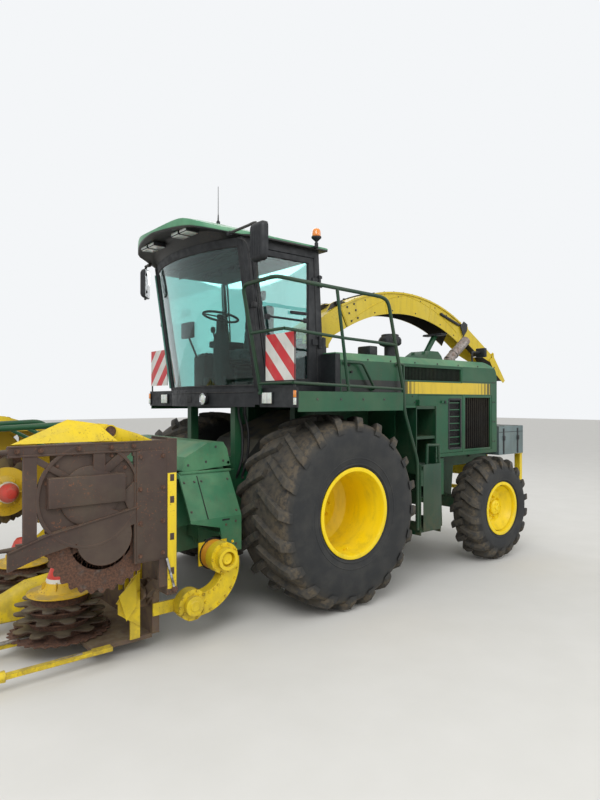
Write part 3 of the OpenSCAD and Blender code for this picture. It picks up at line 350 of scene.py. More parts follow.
@dataclass(frozen=True)
class GrillePaint(Paint):
    """Louvre blades: brown with chaff dust beside the radiator, dark green in the band under the deck."""

    forward_of: float = -2.195
    black: str = "11301F"

    def coat(self, pattern: Pattern) -> bpy.types.NodeSocket:
        """The dusty coat at the back and the black one in the band.

        Args:
            pattern: the material's masks.
        Returns:
            The colour.
        """
        along = add(pattern.tree, "Math", {0: pattern.axes.outputs[0], 1: AXLE_X},
                    operation="SUBTRACT").outputs[0]
        band = pattern.band(along, self.forward_of - 0.002, self.forward_of)
        return pattern.layer(band, super().coat(pattern), linear(self.black))


@dataclass(frozen=True)
class SpoutPaint(Paint):
    """Enamel outside; inside, crop-scoured steel painted near black, partly as painted shade in the chute."""

    # Near black inside: the scoured steel's colour together with painted shade of the chute's hollow.
    inside: str = "1E1C19"
    reach: float = 0.1545

    def coat(self, pattern: Pattern) -> bpy.types.NodeSocket:
        """Enamel outside; scoured steel plus painted shade on what lies within the side sheets and doesn't
        face up.

        Args:
            pattern: the material's masks.
        Returns:
            The colour.
        """
        out = add(pattern.tree, "Math", {0: pattern.axes.outputs[1]}, operation="ABSOLUTE").outputs[0]
        # Painted shade with wear: faces between the side sheets that don't face up go near black.
        within = pattern.both(pattern.band(out, self.reach, self.reach - 0.001),
                              pattern.band(pattern.facing.outputs[2], 0.35, 0.25))
        return pattern.layer(within, super().coat(pattern), linear(self.inside))


@dataclass(frozen=True)
class WingPaint(Paint):
    """The wings' red oxide, worn to rust. What faces inwards to the crop is yellow, as the rotors are."""

    inside: str = "C9A51C"
    limit: float = 0.5

    def coat(self, pattern: Pattern) -> bpy.types.NodeSocket:
        """Oxide outside and underneath, yellow where a face looks towards the machine's middle.

        Args:
            pattern: the material's masks.
        Returns:
            The colour.
        """
        side = add(pattern.tree, "Math", {0: pattern.axes.outputs[1]}, operation="SIGN").outputs[0]
        inward = pattern.both(pattern.facing.outputs[1], side)
        mask = pattern.band(inward, -self.limit, -self.limit - 0.2)
        return pattern.layer(mask, super().coat(pattern), linear(self.inside))


@dataclass(frozen=True)
class Plastic(Finish):
    """Moulded or rubber-like black trim. It has a fine leather grain, greys in the sun and holds dust."""

    grain_mm: float = 2.2
    dust: float = 0.3

    def dress(self, tree: bpy.types.NodeTree, shader: bpy.types.Node) -> None:
        """Layers sun greying and dust, and links the grain.

        Args:
            tree: the material's node tree.
            shader: its Principled shader.
        """
        p = Pattern(tree)
        tone = p.layer(p.both(p.patches(300, 0.4, 0.7), 0.2), linear(self.colour), linear("4A4C4E"))
        upward = p.both(p.band(p.facing.outputs[2], 0.2, 1.0), p.patches(110, 0.3, 0.65))
        tone = p.layer(p.both(upward, self.dust), tone, linear("867C66"))
        grain = add(tree, "TexVoronoi", {"Vector": p.place, "Scale": per_metre(self.grain_mm)})
        rough = add(tree, "MapRange", {0: p.patches(60, 0.3, 0.7), 3: self.roughness - 0.08,
                                       4: self.roughness + 0.12})
        self.feed(tree, shader, Base_Color=tone, Roughness=rough.outputs[0],
                  Normal=p.relief(grain.outputs[0], 0.25, 0.3))


@dataclass(frozen=True)
class Tread(Finish):
    """Carbon-black tyre rubber. It is near black where it flexes, grey-brown with dried soil on the lugs'
    faces and in the grooves, and finely crazed on the walls."""

    axle_x: float = 0.0
    axle_z: float = 0.9
    outer: float = 0.915

    def dress(self, tree: bpy.types.NodeTree, shader: bpy.types.Node) -> None:
        """Lays soil by the distance from the axle, so that it turns with the wheel.

        Args:
            tree: the material's node tree.
            shader: its Principled shader.
        """
        p = Pattern(tree)
        along = add(tree, "Math", {0: p.axes.outputs[0], 1: AXLE_X + self.axle_x}, operation="SUBTRACT")
        up = add(tree, "Math", {0: p.axes.outputs[2], 1: self.axle_z}, operation="SUBTRACT")
        arm = add(tree, "CombineXYZ", {0: along.outputs[0], 1: up.outputs[0]})
        reach = add(tree, "VectorMath", {0: arm.outputs[0]}, operation="LENGTH").outputs["Value"]
        wall = p.both(p.patches(210, 0.35, 0.7, 6), 0.35)
        tone = p.layer(wall, linear(self.colour), linear("45443F"))
        tread = p.both(p.band(reach, self.outer - 0.16, self.outer - 0.03), p.patches(55, 0.28, 0.62, 8))
        tone = p.layer(p.both(tread, 0.42), tone, linear("6A6152"))
        groove = p.both(p.band(reach, self.outer - 0.045, self.outer - 0.06),
                        p.band(reach, self.outer - 0.12, self.outer - 0.09))
        tone = p.layer(p.both(p.both(groove, p.patches(40, 0.4, 0.6, 6)), 0.7), tone, linear("5E5342"))
        craze = add(tree, "TexNoise", {"Vector": p.place, "Scale": per_metre(9), "Detail": 6.0,
                                       "Roughness": 0.7})
        rough = add(tree, "MapRange", {0: tread, 3: self.roughness, 4: 0.95})
        self.feed(tree, shader, Base_Color=tone, Roughness=rough.outputs[0],
                  Normal=p.relief(craze.outputs[0], 1.2, 0.5))


@dataclass(frozen=True)
class BareMetal(Finish):
    """Steel, iron or chrome without paint. It is ground bright, rolled grey or rusted, in long streaks."""

    rust: float = 0.4
    rust_colour: str = "6E4630"
    rust_light: str = "8A5A3A"
    grain: Point = (1.0, 1.0, 1.0)

    def dress(self, tree: bpy.types.NodeTree, shader: bpy.types.Node) -> None:
        """Layers rust, which is rough and not metallic, on the bare metal.

        Args:
            tree: the material's node tree.
            shader: its Principled shader.
        """
        p = Pattern(tree)
        tone = p.layer(p.patches(30, 0.35, 0.7, 5, self.grain), linear(self.colour), linear("6D6A66"))
        mask = p.both(p.patches(70, 0.42 - 0.3 * self.rust, 0.72 - 0.3 * self.rust, 8),
                      min(1.0, self.rust * 1.6))
        brown = p.layer(p.patches(14, 0.35, 0.65, 6), linear(self.rust_colour), linear(self.rust_light))
        tone = p.layer(mask, tone, brown)
        metal = add(tree, "MapRange", {0: mask, 3: self.metallic, 4: 0.05})
        rough = add(tree, "MapRange", {0: mask, 3: self.roughness, 4: 0.88})
        pits = add(tree, "TexNoise", {"Vector": p.place, "Scale": per_metre(5), "Detail": 5.0})
        self.feed(tree, shader, Base_Color=tone, Metallic=metal.outputs[0], Roughness=rough.outputs[0],
                  Normal=p.relief(pits.outputs[0], 0.6, 0.2 + 0.5 * self.rust))


@dataclass(frozen=True)
class Glazing(Finish):
    """Green-tinted safety glass. It mirrors the sky, lets the cab show through and carries a film of dust."""

    clear: float = 1.0

    def dress(self, tree: bpy.types.NodeTree, shader: bpy.types.Node) -> None:
        """Sets the tint and lays the dust film, which is what shows on real glass.

        Args:
            tree: the material's node tree.
            shader: its Principled shader.
        """
        p = Pattern(tree)
        film = p.patches(420, 0.45, 0.85, 3)
        tone = p.layer(p.both(film, 0.10), linear(self.colour), linear("9AA39A"))
        shader.inputs["Transmission Weight"].default_value = self.clear
        shader.inputs["IOR"].default_value = 1.45
        rough = add(tree, "MapRange", {0: film, 3: self.roughness, 4: self.roughness + 0.05})
        self.feed(tree, shader, Base_Color=tone, Roughness=rough.outputs[0])


@dataclass(frozen=True)
class Boards(Finish):
    """Retro-reflective sheeting on a flat board: red and white bars at 45 degrees, faintly celled, sun-paled.
    The post that carries the board is plain dark steel."""

    period: float = 0.282
    centre_y: float = 1.199
    centre_z: float = 2.3615
    foot: float = 2.149

    def dress(self, tree: bpy.types.NodeTree, shader: bpy.types.Node) -> None:
        """Draws the bars from the board's own middle, falling outwards on both sides of the machine.

        Args:
            tree: the material's node tree.
            shader: its Principled shader.
        """
        p = Pattern(tree)
        out = add(tree, "Math", {0: p.axes.outputs[1]}, operation="ABSOLUTE").outputs[0]
        across = add(tree, "Math", {0: out, 1: self.centre_y}, operation="SUBTRACT").outputs[0]
        up = add(tree, "Math", {0: p.axes.outputs[2], 1: self.centre_z}, operation="SUBTRACT").outputs[0]
        diagonal = add(tree, "Math", {0: up, 1: across}, operation="ADD").outputs[0]
        bars = add(tree, "Math", {0: diagonal, 1: self.period}, operation="FLOORED_MODULO").outputs[0]
        red = add(tree, "Math", {0: bars, 1: self.period / 2}, operation="LESS_THAN").outputs[0]
        tone = p.layer(red, linear("D5D5D0"), linear(self.colour))
        tone = p.layer(p.both(p.patches(120, 0.4, 0.75, 6), 0.3), tone, linear("8E8674"))
        sheet = p.both(p.band(p.facing.outputs[0], 0.4, 0.5),
                       p.band(p.axes.outputs[2], self.foot, self.foot + 0.001))
        tone = p.layer(sheet, linear("24262A"), tone)
        cells = add(tree, "TexVoronoi", {"Vector": p.place, "Scale": per_metre(4)},
                    feature="DISTANCE_TO_EDGE")
        self.feed(tree, shader, Base_Color=tone, Normal=p.relief(cells.outputs[0], 0.2, 0.2))


@dataclass(frozen=True)
class Fabric(Finish):
    """Woven seat cloth over foam: a plain weave of dull threads, worn paler where the operator sits."""

    thread_mm: float = 6.0

    def dress(self, tree: bpy.types.NodeTree, shader: bpy.types.Node) -> None:
        """Draws the weave, coarser than life so that it shows in the render.

        Args:
            tree: the material's node tree.
            shader: its Principled shader.
        """
        p = Pattern(tree)
        warp = add(tree, "TexWave", {"Vector": p.place, "Scale": per_metre(self.thread_mm) / 6},
                   bands_direction="X")
        weft = add(tree, "TexWave", {"Vector": p.place, "Scale": per_metre(self.thread_mm) / 6},
                   bands_direction="Z")
        weave = p.both(warp.outputs[1], weft.outputs[1])
        tone = p.layer(p.patches(140, 0.35, 0.7), linear(self.colour), linear("55565A"))
        shader.inputs["Sheen Weight"].default_value = 0.25
        self.feed(tree, shader, Base_Color=tone, Normal=p.relief(weave, 0.8, 0.6))


@dataclass(frozen=True)
class Lens(Finish):
    """Moulded lamp plastic: coloured or clear, with fine ribs that break the light up."""

    rib_mm: float = 9.0

    def dress(self, tree: bpy.types.NodeTree, shader: bpy.types.Node) -> None:
        """Ribs the lens and lets a little light into it.

        Args:
            tree: the material's node tree.
            shader: its Principled shader.
        """
        p = Pattern(tree)
        ribs = add(tree, "TexWave", {"Vector": p.place, "Scale": per_metre(self.rib_mm) / 6},
                   bands_direction="DIAGONAL")
        shader.inputs["Coat Weight"].default_value = 0.8
        shader.inputs["Subsurface Weight"].default_value = 0.15
        tone = p.layer(p.both(p.patches(30, 0.35, 0.7), 0.25), linear(self.colour), linear("8A8878"))
        self.feed(tree, shader, Base_Color=tone, Normal=p.relief(ribs.outputs[1], 0.8, 0.5))


GREEN = Paint("enamel_body_green", "0D4A2D", 0.40, faded="1E5C40", fade=0.4, dust=0.22)
SIDE_GREEN = SidePaint("enamel_body_side", "0D4A2D", 0.36, faded="1E5C40", fade=0.4, dust=0.22)
PALE = Paint("enamel_pale_green", "2F6E4C", 0.5, faded="5E936B", fade=0.7, dust=0.3)
STEP_GREEN = Paint("enamel_step_green", "0A3420", 0.4, faded="15432C", fade=0.4, dust=0.2)
RIM_YELLOW = Paint("enamel_rim_yellow", "F0D000", 0.38, faded="E6CE30", fade=0.3, dust=0.12, mud_top=0.3,
                   chips=0.2)
# The chute's inside is painted near black: scoured steel plus painted shade.
CHUTE = SpoutPaint("enamel_spout_chute", "CDB21A", 0.42, faded="CDB742", fade=0.5, dust=0.15, chips=0.5)
SPOUT_YELLOW = Paint("enamel_spout_yellow", "CDB21A", 0.45, faded="CDB742", fade=0.5, dust=0.15, chips=0.5)
HEADER_YELLOW = Paint("enamel_header_yellow", "E0C20C", 0.42, faded="D6C03C", fade=0.4, dust=0.3,
                      mud_top=0.55, chips=0.9, under="4C3428", edge_mm=5.0)
TIER_YELLOW = Paint("enamel_tier_yellow", "DDB514", 0.45, faded="C9AE48", fade=0.4, dust=0.6, mud_top=0.3,
                    chips=0.9, under="4C3428", edge_mm=5.0)
ORANGE = Paint("enamel_sleeve_orange", "E39A12", 0.4, faded="DDA63A", fade=0.4, dust=0.4, mud_top=0.5,
               chips=0.3)
TIER = Paint("worn_tier_steel", "3E342E", 0.5, faded="9A7E2A", fade=0.45, dust=0.4, mud_top=0.3, chips=0.8,
             under="2E2420", edge_mm=4.0)
CORE = Plastic("cooler_core", "14110F", 0.8, grain_mm=8.0, dust=0.1)
PRIMER = Paint("red_oxide_primer", "4A3833", 0.72, faded="655049", fade=0.6, dust=0.55, mud_top=1.4,
               chips=0.6, under="7A5038", edge_mm=5.0)
BLACK = Plastic("moulded_black", "101317", 0.6, dust=0.15)
TRIM = Plastic("rubber_seal", "121315", 0.62, grain_mm=1.4, dust=0.2)
BLACK_STEEL = Paint("black_stove_enamel", "181B1F", 0.42, faded="2E3235", fade=0.3, dust=0.3, chips=0.2)
CAST = Paint("cast_iron_grey", "33383A", 0.6, faded="4A4D4C", fade=0.4, dust=0.5, mud_top=1.4, chips=0.5)
ROOF = RoofPaint("enamel_roof", "4A8765", 0.42, faded="6FA57F", fade=0.7, dust=0.2)
LOUVRES = GrillePaint("louvre_paint", "3A3831", 0.7, faded="57503F", fade=0.7, dust=0.4)
WING = WingPaint("oxide_wing", "3A2C28", 0.72, faded="4C3D36", fade=0.6, dust=0.35, mud_top=0.9, chips=0.7,
                 under="7A5038", edge_mm=5.0)
GREY = Paint("enamel_box_grey", "5D6F72", 0.5, faded="76888A", fade=0.5, dust=0.4)
CHROME = BareMetal("hard_chrome", "C9CCD0", 0.12, 1.0, rust=0.05)
STEEL = BareMetal("ground_steel", "8A8780", 0.38, 0.9, rust=0.35)
POLISHED = BareMetal("worn_point_steel", "A8A59C", 0.30, 0.95, rust=0.22)
RUSTY = BareMetal("rusted_saw_steel", "463E38", 0.6, 0.5, rust=0.8, rust_colour="46332A", rust_light="664736")
EXHAUST = BareMetal("aluminised_exhaust", "A59C97", 0.45, 0.8, rust=0.25, rust_colour="7A5A48")
GLASS = Glazing("tinted_safety_glass", "B4E0DC", 0.02)
EDGE_GLASS = Plastic("pale_glass_edge", "6FA79A", 0.25, grain_mm=6.0, dust=0.1)
LINING = Plastic("cab_headlining", "23281F", 0.8, grain_mm=3.0, dust=0.0)
MIRROR = BareMetal("mirror_glass", "D8DCDD", 0.03, 1.0, rust=0.0)
BOARDS = Boards("reflective_sheeting", "C4202A", 0.42)
CLOTH = Fabric("seat_cloth", "26282C", 0.85)
CLEAR = Lens("clear_lamp_glass", "D6DAD4", 0.08)
AMBER = Lens("amber_lamp_plastic", "E8860E", 0.15)
RED = Lens("red_lamp_plastic", "B01818", 0.15)
HOSE = Plastic("hydraulic_hose_rubber", "17181A", 0.5, grain_mm=3.0, dust=0.35)
TIP_RED = Paint("enamel_cone_red", "C22B20", 0.4, faded="C8564A", fade=0.4, dust=0.4, mud_top=0.5, chips=0.6)
TIP_WHITE = Paint("enamel_cone_white", "DAD7CC", 0.45, faded="C9C4B4", fade=0.4, dust=0.5, mud_top=0.5,
                  chips=0.6)


FORWARD = Matrix.Rotation(math.radians(90), 4, "Y")
LEFTWARD = Matrix.Rotation(math.radians(-90), 4, "X")


class Bench:
    """One piece in the making: a bmesh that bmesh operators fill, in metres from the front axle."""

    def __init__(self) -> None:
        """Starts with nothing on the bench."""
        self.bm = bmesh.new()

    def join(self, part: bmesh.types.BMesh, place: Matrix | None = None) -> "Bench":
        """Adds a finished form, moved by place, and frees it.

        Args:
            part: the form.
            place: where it goes, if it moves.
        Returns:
            The bench.
        """
        if place is not None:
            part.transform(place)
        spare = bpy.data.meshes.new("spare")
        part.to_mesh(spare)
        part.free()
        self.bm.from_mesh(spare)
        bpy.data.meshes.remove(spare)
        return self

    @staticmethod
    def ease(part: bmesh.types.BMesh, edge: float, sharper: float = 30.0, segments: int = 2) -> None:
        """Bevels every edge that turns by more than sharper degrees.

        Args:
            part: the form.
            edge: width of the bevel.
            sharper: least angle between the faces, in degrees.
            segments: faces across the bevel.
        """
        if edge <= 0:
            return
        picked = [e for e in part.edges
                  if len(e.link_faces) == 2 and e.calc_face_angle(0) > math.radians(sharper)]
        bmesh.ops.bevel(part, geom=picked, offset=edge, offset_type="OFFSET", segments=segments, profile=0.5,
                        affect="EDGES", material=-1, clamp_overlap=True)

    def block(self, low: Point, high: Point, edge: float = 0.0, turn: Matrix | None = None) -> "Bench":
        """A box between two corners, its edges eased, turned about its middle.

        Args:
            low: its low corner.
            high: its high corner.
            edge: width of the bevel.
            turn: how it is turned about its middle.
        Returns:
            The bench.
        """
        part = bmesh.new()
        bmesh.ops.create_cube(part, size=1.0)
        size = [b - a for a, b in zip(low, high)]
        bmesh.ops.scale(part, vec=size, verts=part.verts)
        self.ease(part, edge)
        middle = [(a + b) / 2 for a, b in zip(low, high)]
        return self.join(part, Matrix.Translation(middle) @ (turn or Matrix.Identity(4)))

    def side_block(self, side: int, low: Point, high: Point, edge: float = 0.0) -> "Bench":
        """A box on one side of the machine.

        Args:
            side: 1 for the left side, -1 for the right one.
            low: its low corner, as on the left side.
            high: its high corner, as on the left side.
            edge: width of the bevel.
        Returns:
            The bench.
        """
        y0, y1 = sorted((side * low[1], side * high[1]))
        return self.block((low[0], y0, low[2]), (high[0], y1, high[2]), edge)

    def rod(self, start: Point, end: Point, radius: float, tip: float | None = None, sides: int = 24,
            edge: float = 0.0) -> "Bench":
        """A round bar or cone from start to end.

        Args:
            start: middle of the first end.
            end: middle of the second end.
            radius: radius at the start.
            tip: radius at the end, if it differs.
            sides: number of faces round it; 6 makes a hexagon head.
            edge: bevel of the end edges.
        Returns:
            The bench.
        """
        a, b = Vector(start), Vector(end)
        part = bmesh.new()
        bmesh.ops.create_cone(part, cap_ends=True, segments=sides, radius1=radius,
                              radius2=radius if tip is None else tip, depth=(b - a).length)
        if edge:
            self.ease(part, edge, 50)
        return self.join(part, Matrix.Translation((a + b) / 2)
                         @ (b - a).to_track_quat("Z", "Y").to_matrix().to_4x4())

    def turned(self, profile: Sequence[Point], place: Matrix, steps: int = 64, ring: bool = False,
               edge: float = 0.0) -> "Bench":
        """A lathe form.

        Args:
            profile: (radius, height) points, from the axis back to the axis, or a closed outline for a ring.
            place: where the lathe's +Z axis goes.
            steps: faces round the axis.
            ring: the profile closes on itself.
            edge: bevel of its sharp circles.
        Returns:
            The bench.
        """
        part = bmesh.new()
        verts = [part.verts.new((r, 0.0, h)) for r, h in profile]
        pairs = list(zip(verts, verts[1:])) + ([(verts[-1], verts[0])] if ring else [])
        edges = [part.edges.new(pair) for pair in pairs]
        bmesh.ops.spin(part, geom=verts + edges, cent=(0, 0, 0), axis=(0, 0, 1), angle=math.tau, steps=steps,
                       use_merge=True)
        bmesh.ops.remove_doubles(part, verts=part.verts, dist=1e-6)
        bmesh.ops.recalc_face_normals(part, faces=part.faces)
        self.ease(part, edge, 35)
        return self.join(part, place)

    def plate(self, outline: Sequence[Point], axis: str, low: float, high: float,
              edge: float = 0.0) -> "Bench":
        """A flat outline with thickness.

        Args:
            outline: (x, z) points for axis Y, (y, z) for X and (x, y) for Z.
            axis: the axis along its thickness.
            low: first face on that axis.
            high: second face on that axis.
            edge: bevel of its sharp edges.
        Returns:
            The bench.
        """
        order = {"X": lambda a, b: (low, a, b), "Y": lambda a, b: (a, low, b),
                 "Z": lambda a, b: (a, b, low)}[axis]
        part = bmesh.new()
        face = part.faces.new([part.verts.new(order(*p)) for p in outline])
        grown = bmesh.ops.extrude_face_region(part, geom=[face])["geom"]
        step = [high - low if name == axis else 0.0 for name in "XYZ"]
        bmesh.ops.translate(part, vec=step, verts=[g for g in grown if isinstance(g, bmesh.types.BMVert)])
        bmesh.ops.recalc_face_normals(part, faces=part.faces)
        self.ease(part, edge)
        return self.join(part)

    def loft(self, rings: Sequence[Sequence[Vector]]) -> "Bench":
        """Skins a row of closed rings of equal count, and closes both ends.

        Args:
            rings: the rings' points, in order.
        Returns:
            The bench.
        """
        part = bmesh.new()
        loops = []
        for ring in rings:
            verts = [part.verts.new(p) for p in ring]
            loops.append([part.edges.new(pair) for pair in zip(verts, verts[1:] + verts[:1])])
        for one, other in zip(loops, loops[1:]):
            bmesh.ops.bridge_loops(part, edges=one + other)
        for end in (loops[0], loops[-1]):
            bmesh.ops.edgeloop_fill(part, edges=end)
        bmesh.ops.recalc_face_normals(part, faces=part.faces)
        return self.join(part)

    def tube(self, points: Sequence[Point], radius: float, sides: int = 12, smooth: int = 6) -> "Bench":
        """A hose or bent tube through the points.

        Args:
            points: the points that it follows.
            radius: its outer radius.
            sides: faces round it.
            smooth: steps between two points; 1 keeps straight runs.
        Returns:
            The bench.
        """
        line = curve_through(points, smooth)
        rings, turn = [], None
        for i, p in enumerate(line):
            ahead = (line[min(i + 1, len(line) - 1)] - line[max(i - 1, 0)]).normalized()
            turn = ahead.to_track_quat("Z", "Y") if turn is None else \
                (turn @ Vector((0, 0, 1))).rotation_difference(ahead) @ turn
            rings.append([p + turn @ Vector((radius * math.cos(a), radius * math.sin(a), 0))
                          for a in (k * math.tau / sides for k in range(sides))])
        return self.loft(rings)

    def bolts(self, places: Iterable[Point], axis: Point, radius: float, height: float,
              washer: bool = True) -> "Bench":
        """Hexagon heads on washers, standing on each place along the axis.

        Args:
            places: where they stand.
            axis: the way they point.
            radius: of the head.
            height: of the head.
            washer: false leaves the washers out.
        Returns:
            The bench.
        """
        out = Vector(axis).normalized()
        for place in places:
            foot = Vector(place)
            if washer:
                self.rod(foot - out * 0.001, foot + out * height * 0.2, radius * 1.45, sides=14)
            self.rod(foot + out * height * 0.1, foot + out * height, radius, sides=6)
        return self

    def mirror(self) -> "Bench":
        """Adds the same forms on the other side of the machine.

        Returns:
            The bench.
        """
        part = self.bm.copy()
        bmesh.ops.scale(part, vec=(1, -1, 1), verts=part.verts)
        bmesh.ops.reverse_faces(part, faces=part.faces)
        return self.join(part)

    def flipped(self) -> "Bench":
        """Puts everything on the other side of the machine.

        Returns:
            The bench.
        """
        bmesh.ops.scale(self.bm, vec=(1, -1, 1), verts=self.bm.verts)
        bmesh.ops.reverse_faces(self.bm, faces=self.bm.faces)
        return self

    def moved(self, place: Matrix) -> "Bench":
        """Moves everything on the bench."""
        self.bm.transform(place)
        return self

    def piece(self, name: str, body: str, finish: Finish, slot: Slot, replaces: Sequence[str] = (),
              smooth: float = 38.0) -> bpy.types.Object:
        """Finishes the piece.

        Args:
            name: the piece's plain name.
            body: the CAD body that it rides on.
            finish: its finish.
            slot: the record's slot for that finish; not used.
            replaces: CAD nodes that it stands for.
            smooth: edges that turn by less than this many degrees are shaded round.
        Returns:
            The Blender object, at the origin.
        """
        bmesh.ops.translate(self.bm, vec=(AXLE_X, 0, 0), verts=self.bm.verts)
        mesh = bpy.data.meshes.new(name)
        self.bm.to_mesh(mesh)
        self.bm.free()
        mesh.shade_smooth()
        mesh.set_sharp_from_angle(angle=math.radians(smooth))
        mesh.materials.append(finish.material())
        made = bpy.data.objects.new(name, mesh)
        bpy.context.scene.collection.objects.link(made)
        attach(made, body)
        if replaces:
            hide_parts(*replaces)
        log.info("%s: %d faces on %s", name, len(mesh.polygons), body)
        return made


def side_name(side: int) -> str:
    """The word for the machine's left side, 1, or right side, -1."""
    return "left" if side > 0 else "right"


def around(count: int, start: float = 0.0) -> list[tuple[float, float]]:
    """Evenly spaced directions round a circle.

    Args:
        count: how many there are.
        start: how far the first one is turned, as a share of the step.
    Returns:
        The cosine and sine of each direction.
    """
    angles = [(k + start) * math.tau / count for k in range(count)]
    return [(math.cos(a), math.sin(a)) for a in angles]


def oval(radius: float, height: float, half_wide: float, half_high: float,
         count: int) -> list[tuple[float, float]]:
    """The round section of a ring, for the lathe.

    Args:
        radius: from the axis to the section's middle.
        height: of the section's middle.
        half_wide: half its width.
        half_high: half its height.
        count: how many points it has.
    Returns:
        Its (radius, height) points.
    """
    return [(radius + half_wide * c, height + half_high * s) for c, s in around(count)]


def curve_through(points: Sequence[Point], steps: int) -> list[Vector]:
    """A smooth line through the points.

    Args:
        points: the points, in order.
        steps: pieces between two points.
    Returns:
        The line's points.
    """
    knots = [Vector(p) for p in points]
    if steps < 2:
        return knots
    ends = [knots[0] * 2 - knots[1]] + knots + [knots[-1] * 2 - knots[-2]]
    line = []
    for a, b, c, d in zip(ends, ends[1:], ends[2:], ends[3:]):
        for t in (k / steps for k in range(steps)):
            line.append(0.5 * ((2 * b) + (c - a) * t + (2 * a - 5 * b + 4 * c - d) * t ** 2
                               + (3 * b - a - 3 * c + d) * t ** 3))
    return line + [knots[-1]]


def bent(points: Sequence[Point], reach: float = 0.06, steps: int = 5) -> list[Vector]:
    """Straight runs joined by bends.

    Args:
        points: the corners.
        reach: how far before a corner its bend starts.
        steps: pieces in a bend.
    Returns:
        The line's points.
    """
    knots = [Vector(p) for p in points]
    line = [knots[0]]
    for a, b, c in zip(knots, knots[1:], knots[2:]):
        p = b + (a - b).normalized() * min(reach, (a - b).length * 0.45)
        q = b + (c - b).normalized() * min(reach, (c - b).length * 0.45)
        line += [p.lerp(b, t).lerp(b.lerp(q, t), t) for t in (k / steps for k in range(steps + 1))]
    return line + [knots[-1]]


def rounded(profile: Sequence[Point], rounds: int = 2) -> list[tuple[float, float]]:
    """Cuts the corners of an open profile, so that it stays inside the one that it starts from.

    Args:
        profile: its points.
        rounds: how often the corners are cut.
    Returns:
        The new points.
    """
    line = [tuple(p) for p in profile]
    for _ in range(rounds):
        cut = [line[0]]
        for (a, b), (c, d) in zip(line, line[1:]):
            cut += [(a * 0.75 + c * 0.25, b * 0.75 + d * 0.25), (a * 0.25 + c * 0.75, b * 0.25 + d * 0.75)]
        line = cut + [line[-1]]
    return line


@dataclass
class Studio:
    """Camera, floor and light. The camera stands where the photograph was taken from."""

    eye: Point = (3.956, 5.488, 1.961)
    yaw: float = -129.30
    pitch: float = 0.13
    lens: float = 27.0
    floor_tone: str = "D8D7D3"

    def build(self) -> None:
        """Makes the camera, the floor, the sky and the lamps."""
        bpy.context.scene.view_settings.view_transform = "Standard"
        self.camera()
        self.floor()
        self.light()

    def camera(self) -> None:
        """The camera, level, at a standing person's reach in front of the left wheel."""
        data = bpy.data.cameras.new("camera")
        data.sensor_width, data.lens, data.clip_end = 36.0, self.lens, 200.0
        made = bpy.data.objects.new("camera", data)
        made.location = (self.eye[0] + AXLE_X, self.eye[1], self.eye[2])
        made.rotation_euler = (math.radians(90 + self.pitch), 0, math.radians(self.yaw - 90))
        bpy.context.scene.collection.objects.link(made)
        bpy.context.scene.camera = made

    def floor(self) -> None:
        """A plain pale floor that the camera sees evenly bright, with the machine's shadow on it."""
        mesh = bpy.data.meshes.new("floor")
        bm = bmesh.new()
        bmesh.ops.create_grid(bm, x_segments=1, y_segments=1, size=60)
        bm.to_mesh(mesh)
        bm.free()
        made = bpy.data.objects.new("floor", mesh)
        material = bpy.data.materials.new("pale_floor")
        material.use_nodes = True
        tree = material.node_tree
        shader = tree.nodes["Principled BSDF"]
        shader.inputs["Roughness"].default_value = 0.9
        place = add(tree, "TexCoord").outputs["Object"]
        grain = add(tree, "TexNoise", {"Vector": place, "Scale": per_metre(400), "Detail": 6.0})
        tone = add(tree, "Mix", {0: grain.outputs[0], 6: linear(self.floor_tone), 7: linear("CFCEC9")},
                   data_type="RGBA")
        tree.links.new(tone.outputs[2], shader.inputs["Base Color"])
        mesh.materials.append(material)
        bpy.context.scene.collection.objects.link(made)

    def light(self) -> None:
        """An even overcast sky, as in the photograph, with one broad soft lamp for shape."""
        world = bpy.data.worlds.new("studio")
        bpy.context.scene.world = world
        world.use_nodes = True
        tree = world.node_tree
        back = tree.nodes["Background"]
        path = add(tree, "LightPath")
        seen = add(tree, "Math", {0: path.outputs["Is Camera Ray"], 1: path.outputs["Is Glossy Ray"]},
                   operation="MAXIMUM")
        seen = add(tree, "Math", {0: seen.outputs[0], 1: path.outputs["Is Transmission Ray"]},
                   operation="MAXIMUM")
        tone = add(tree, "Mix", {0: seen.outputs[0], 6: linear("FFFFFF"), 7: linear("F4F6F8")},
                   data_type="RGBA")
        power = add(tree, "MapRange", {0: seen.outputs[0], 3: 0.80, 4: 1.0})
        tree.links.new(tone.outputs[2], back.inputs["Color"])
        tree.links.new(power.outputs[0], back.inputs["Strength"])
        for name, spot, aim, size, power_w in (("key", (7, 7, 9), (0, 0, 1), 7.0, 620.0),
                                               ("side", (-6, 10, 6), (-1, 0, 1.5), 6.0, 240.0),
                                               ("back", (-5, -9, 8), (0, 0, 1), 6.0, 260.0)):
            data = bpy.data.lights.new(name, "AREA")
            data.shape, data.size, data.energy = "DISK", size, power_w
            lamp = bpy.data.objects.new(name, data)
            lamp.location = spot
            lamp.rotation_euler = (Vector(aim) - Vector(spot)).to_track_quat("-Z", "Y").to_euler()
            bpy.context.scene.collection.objects.link(lamp)


